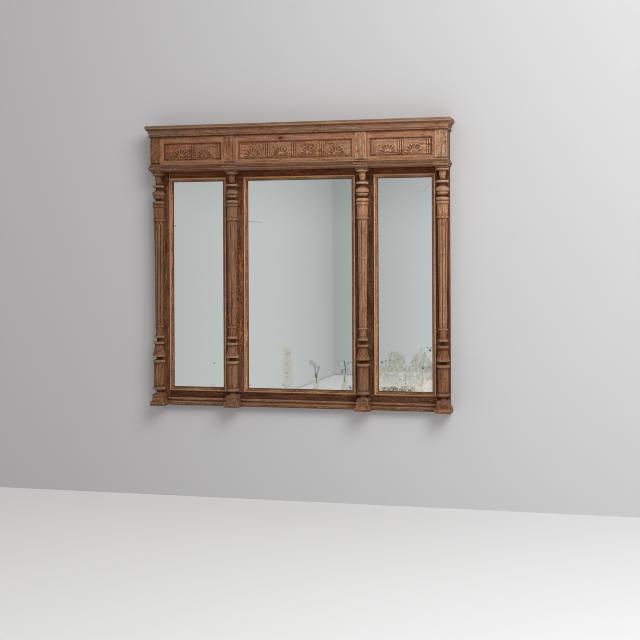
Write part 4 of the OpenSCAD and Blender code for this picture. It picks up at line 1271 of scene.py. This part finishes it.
def silvered_glass():
    material, shader, place = new_material("silvered_glass")
    x, _, z = split(place)
    waver = noise_at(place, scale=38.0, detail=4.0, roughness=0.6) - 0.5
    grit = noise_at(place, scale=170.0, detail=3.0, roughness=0.7)
    crackle = noise_at(place, scale=75.0, detail=5.0, roughness=0.75, distortion=1.2)
    drips = noise_at(joined(x * 60.0, 0.0, z * 22.0), detail=3.0, roughness=0.6)
    spot = x, z, waver

    pale = pale_plumes(spot, crackle)
    humps, cream, green, white, black = spoilt_foot(spot, crackle, grit, drips)
    left_edge = fall((x + 0.252).size(), 0.010, 0.014) * fall(z, 0.220, 0.232)
    dots = damp_dots(place, strongest([left_edge, humps * 0.8, pale * 0.6]))
    dark_part = strongest(dark_marks(spot) + [black, dots])

    yellowed = mixed(ramp(drips, 0.40, 0.58), srgb(222, 203, 156), srgb(226, 226, 216))
    colour = layered(silver, (pale * 0.95, srgb(180, 181, 146)), (green * 0.80, srgb(158, 160, 132)),
                     (cream * 0.85, yellowed), (white * 0.8, srgb(240, 238, 230)),
                     (dark_part * 0.88, srgb(46, 52, 46)))
    spoilt = strongest([pale * 0.8, green * 0.5, cream, white])
    fill(shader, Base_Color=colour, Metallic=(1.0 - spoilt * 0.85) * (1.0 - dark_part),
         Roughness=0.012 + spoilt * 0.25 + dark_part * 0.3, Coat_Weight=1.0, Coat_Roughness=0.01)
    return material


dress(each("mirror", thirds), silvered_glass())
print("glass ready")

# %% [markdown]
# ## The room
# The wall and the floor are pale, with painted light that makes them lighter towards the right. Each
# shows only from its front, so the mirror can also be looked at from behind. A mirror shows what is
# opposite: here a pale room whose corner appears in the centre glass. Those walls are seen by
# reflections only, and they glow by themselves, so they put no light on the wood.

# %% Wall and floor
floor_z = -0.468
wall_y = 0.002
wall_top = 4.0
room_reach = 9.0


def one_sided(name, colour, brighter):
    """Paint that gets lighter towards the right, as painted light from the room's window, and can't be seen
    from its back.
    """
    material, shader, place = new_material(name)
    nodes = material.node_tree.nodes
    towards_window = split(place)[0] * 0.9 + noise_at(place, scale=1.3, detail=3.0) * 0.35
    fill(shader, Base_Color=mixed(ramp(towards_window, -1.0, 1.6, "LINEAR"), colour, brighter), Roughness=0.9,
         Specular_IOR_Level=0.1)
    clear = nodes.new("ShaderNodeBsdfTransparent").outputs[0]
    back = nodes.new("ShaderNodeNewGeometry").outputs["Backfacing"]
    fill(nodes["Material Output"], Surface=chosen(back, shader.outputs[0], clear))
    return material


def stage_quad(name, corners, material):
    mesh = bpy.data.meshes.new(name)
    mesh.from_pydata(corners, [], [(0, 1, 2, 3)])
    mesh.materials.append(material)
    quad = bpy.data.objects.new(name, mesh)
    scene.collection.objects.link(quad)
    quad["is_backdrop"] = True
    return quad


def upright(start, end, top):
    """The corners of a wall between two places on the floor."""
    return [(*start, floor_z), (*end, floor_z), (*end, top), (*start, top)]


wall = stage_quad("wall", upright((-room_reach, wall_y), (room_reach, wall_y), wall_top),
                  one_sided("wall_paint", srgb(187, 185, 186), srgb(202, 202, 202)))
wall.visible_shadow = False
wall.visible_diffuse = False
floor_corners = [(-1, -1), (1, -1), (1, 1), (-1, 1)]
stage_quad("floor", [(x * room_reach, y * room_reach, floor_z) for x, y in floor_corners],
           one_sided("floor_paint", srgb(223, 222, 221), srgb(234, 234, 234)))
print("wall and floor ready")

# %% The reflected room
corner_x = -1.27
far_wall_y = -6.1
near_end = (-1.45, -1.2)
right_wall_x = 5.5
room_top = 3.4


def glow(name, near_corner, away, share):
    """Paint that shines by itself, from one colour at the room's corner to another, dimmer near the top."""
    material, shader, place = new_material(name)
    tree = material.node_tree
    tree.nodes.remove(shader)
    x, y, z = split(place)
    # painted shadow lines along the floor and at the room's corner, on walls painted darker near the corner
    joint = fall(z, floor_z + 0.006, floor_z + 0.024) * 0.24
    corner = fall((y - far_wall_y).size(), 0.020, 0.080) * ramp(y, far_wall_y, far_wall_y + 0.01) * 0.12
    light = wired(tree, "ShaderNodeEmission", Color=mixed(share(x, y), near_corner, away),
                  Strength=1.0 - ramp(z, 0.9, 1.7) * 0.22 - joint.at_least(corner))
    fill(tree.nodes["Material Output"], Surface=light.outputs[0])
    return material


def reflected_wall(name, start, end, near_corner, away, share):
    quad = stage_quad(name, upright(start, end, room_top), glow(name + "_glow", near_corner, away, share))
    quad.visible_camera = False
    quad.visible_diffuse = False
    quad.visible_shadow = False
    quad.visible_transmission = False


def from_corner_out(x, y):
    """Quick at first and slower later, along the left wall."""
    left_over = fall(y, far_wall_y, far_wall_y + 2.6, "LINEAR")
    return 1.0 - left_over * left_over - ramp(y, -3.6, -2.0) * 0.35


def from_corner_across(x, y):
    return ramp(x, corner_x, corner_x + 1.1, "LINEAR")


reflected_wall("room_left", near_end, (corner_x, far_wall_y), srgb(176, 178, 176), srgb(203, 205, 204),
               from_corner_out)
reflected_wall("room_far", (corner_x, far_wall_y), (right_wall_x, far_wall_y), srgb(168, 170, 168),
               srgb(206, 208, 208), from_corner_across)
reflected_wall("room_right", (right_wall_x, far_wall_y), (right_wall_x, -0.5), srgb(204, 206, 206),
               srgb(204, 206, 206), from_corner_across)
print("reflected room ready")

# %% [markdown]
# ## Light
# The photograph has one large soft light high on the right, and light from everywhere that a white room
# gives back. An area lamp makes the first and the world the second. Together they light the front of the
# mirror at about the level at which a colour shows as it is written.

# %% Lamps and world
lamp_place, lamp_target = Vector((3.0, -4.1, 3.8)), Vector((0.1, 0.0, 0.6))
lamp_data = bpy.data.lights.new("key_light", "AREA")
lamp_data.shape = "SQUARE"
lamp_data.size = 3.0
lamp_data.energy = 218.0
lamp = bpy.data.objects.new("key_light", lamp_data)
lamp.location = lamp_place
lamp.rotation_euler = (lamp_target - lamp_place).to_track_quat("-Z", "Y").to_euler()
scene.collection.objects.link(lamp)

world = bpy.data.worlds.new("white_room")
scene.world = world
world.use_nodes = True
sky = world.node_tree
soft = fill(sky.nodes["Background"], Color=(1.0, 1.0, 1.0, 1.0), Strength=0.54)
seen = wired(sky, "ShaderNodeBackground", Color=srgb(214, 216, 218), Strength=1.0)
ray = sky.nodes.new("ShaderNodeLightPath").outputs
seen_ray = strongest([Formula(ray[f"Is {kind} Ray"]) for kind in ("Camera", "Glossy", "Transmission")])
fill(sky.nodes["World Output"], Surface=chosen(seen_ray, soft.outputs[0], seen.outputs[0]))
print("light ready")

# %% [markdown]
# ## The size of the dressed mirror
# The dressed mirror should be as large as its construction. Its size is printed here, and the construction's
# box from the start is kept.

# %% Sizes and finish
shown_low, shown_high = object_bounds()
show("visual size in metres", [round(b - a, 3) for a, b in zip(shown_low, shown_high)])
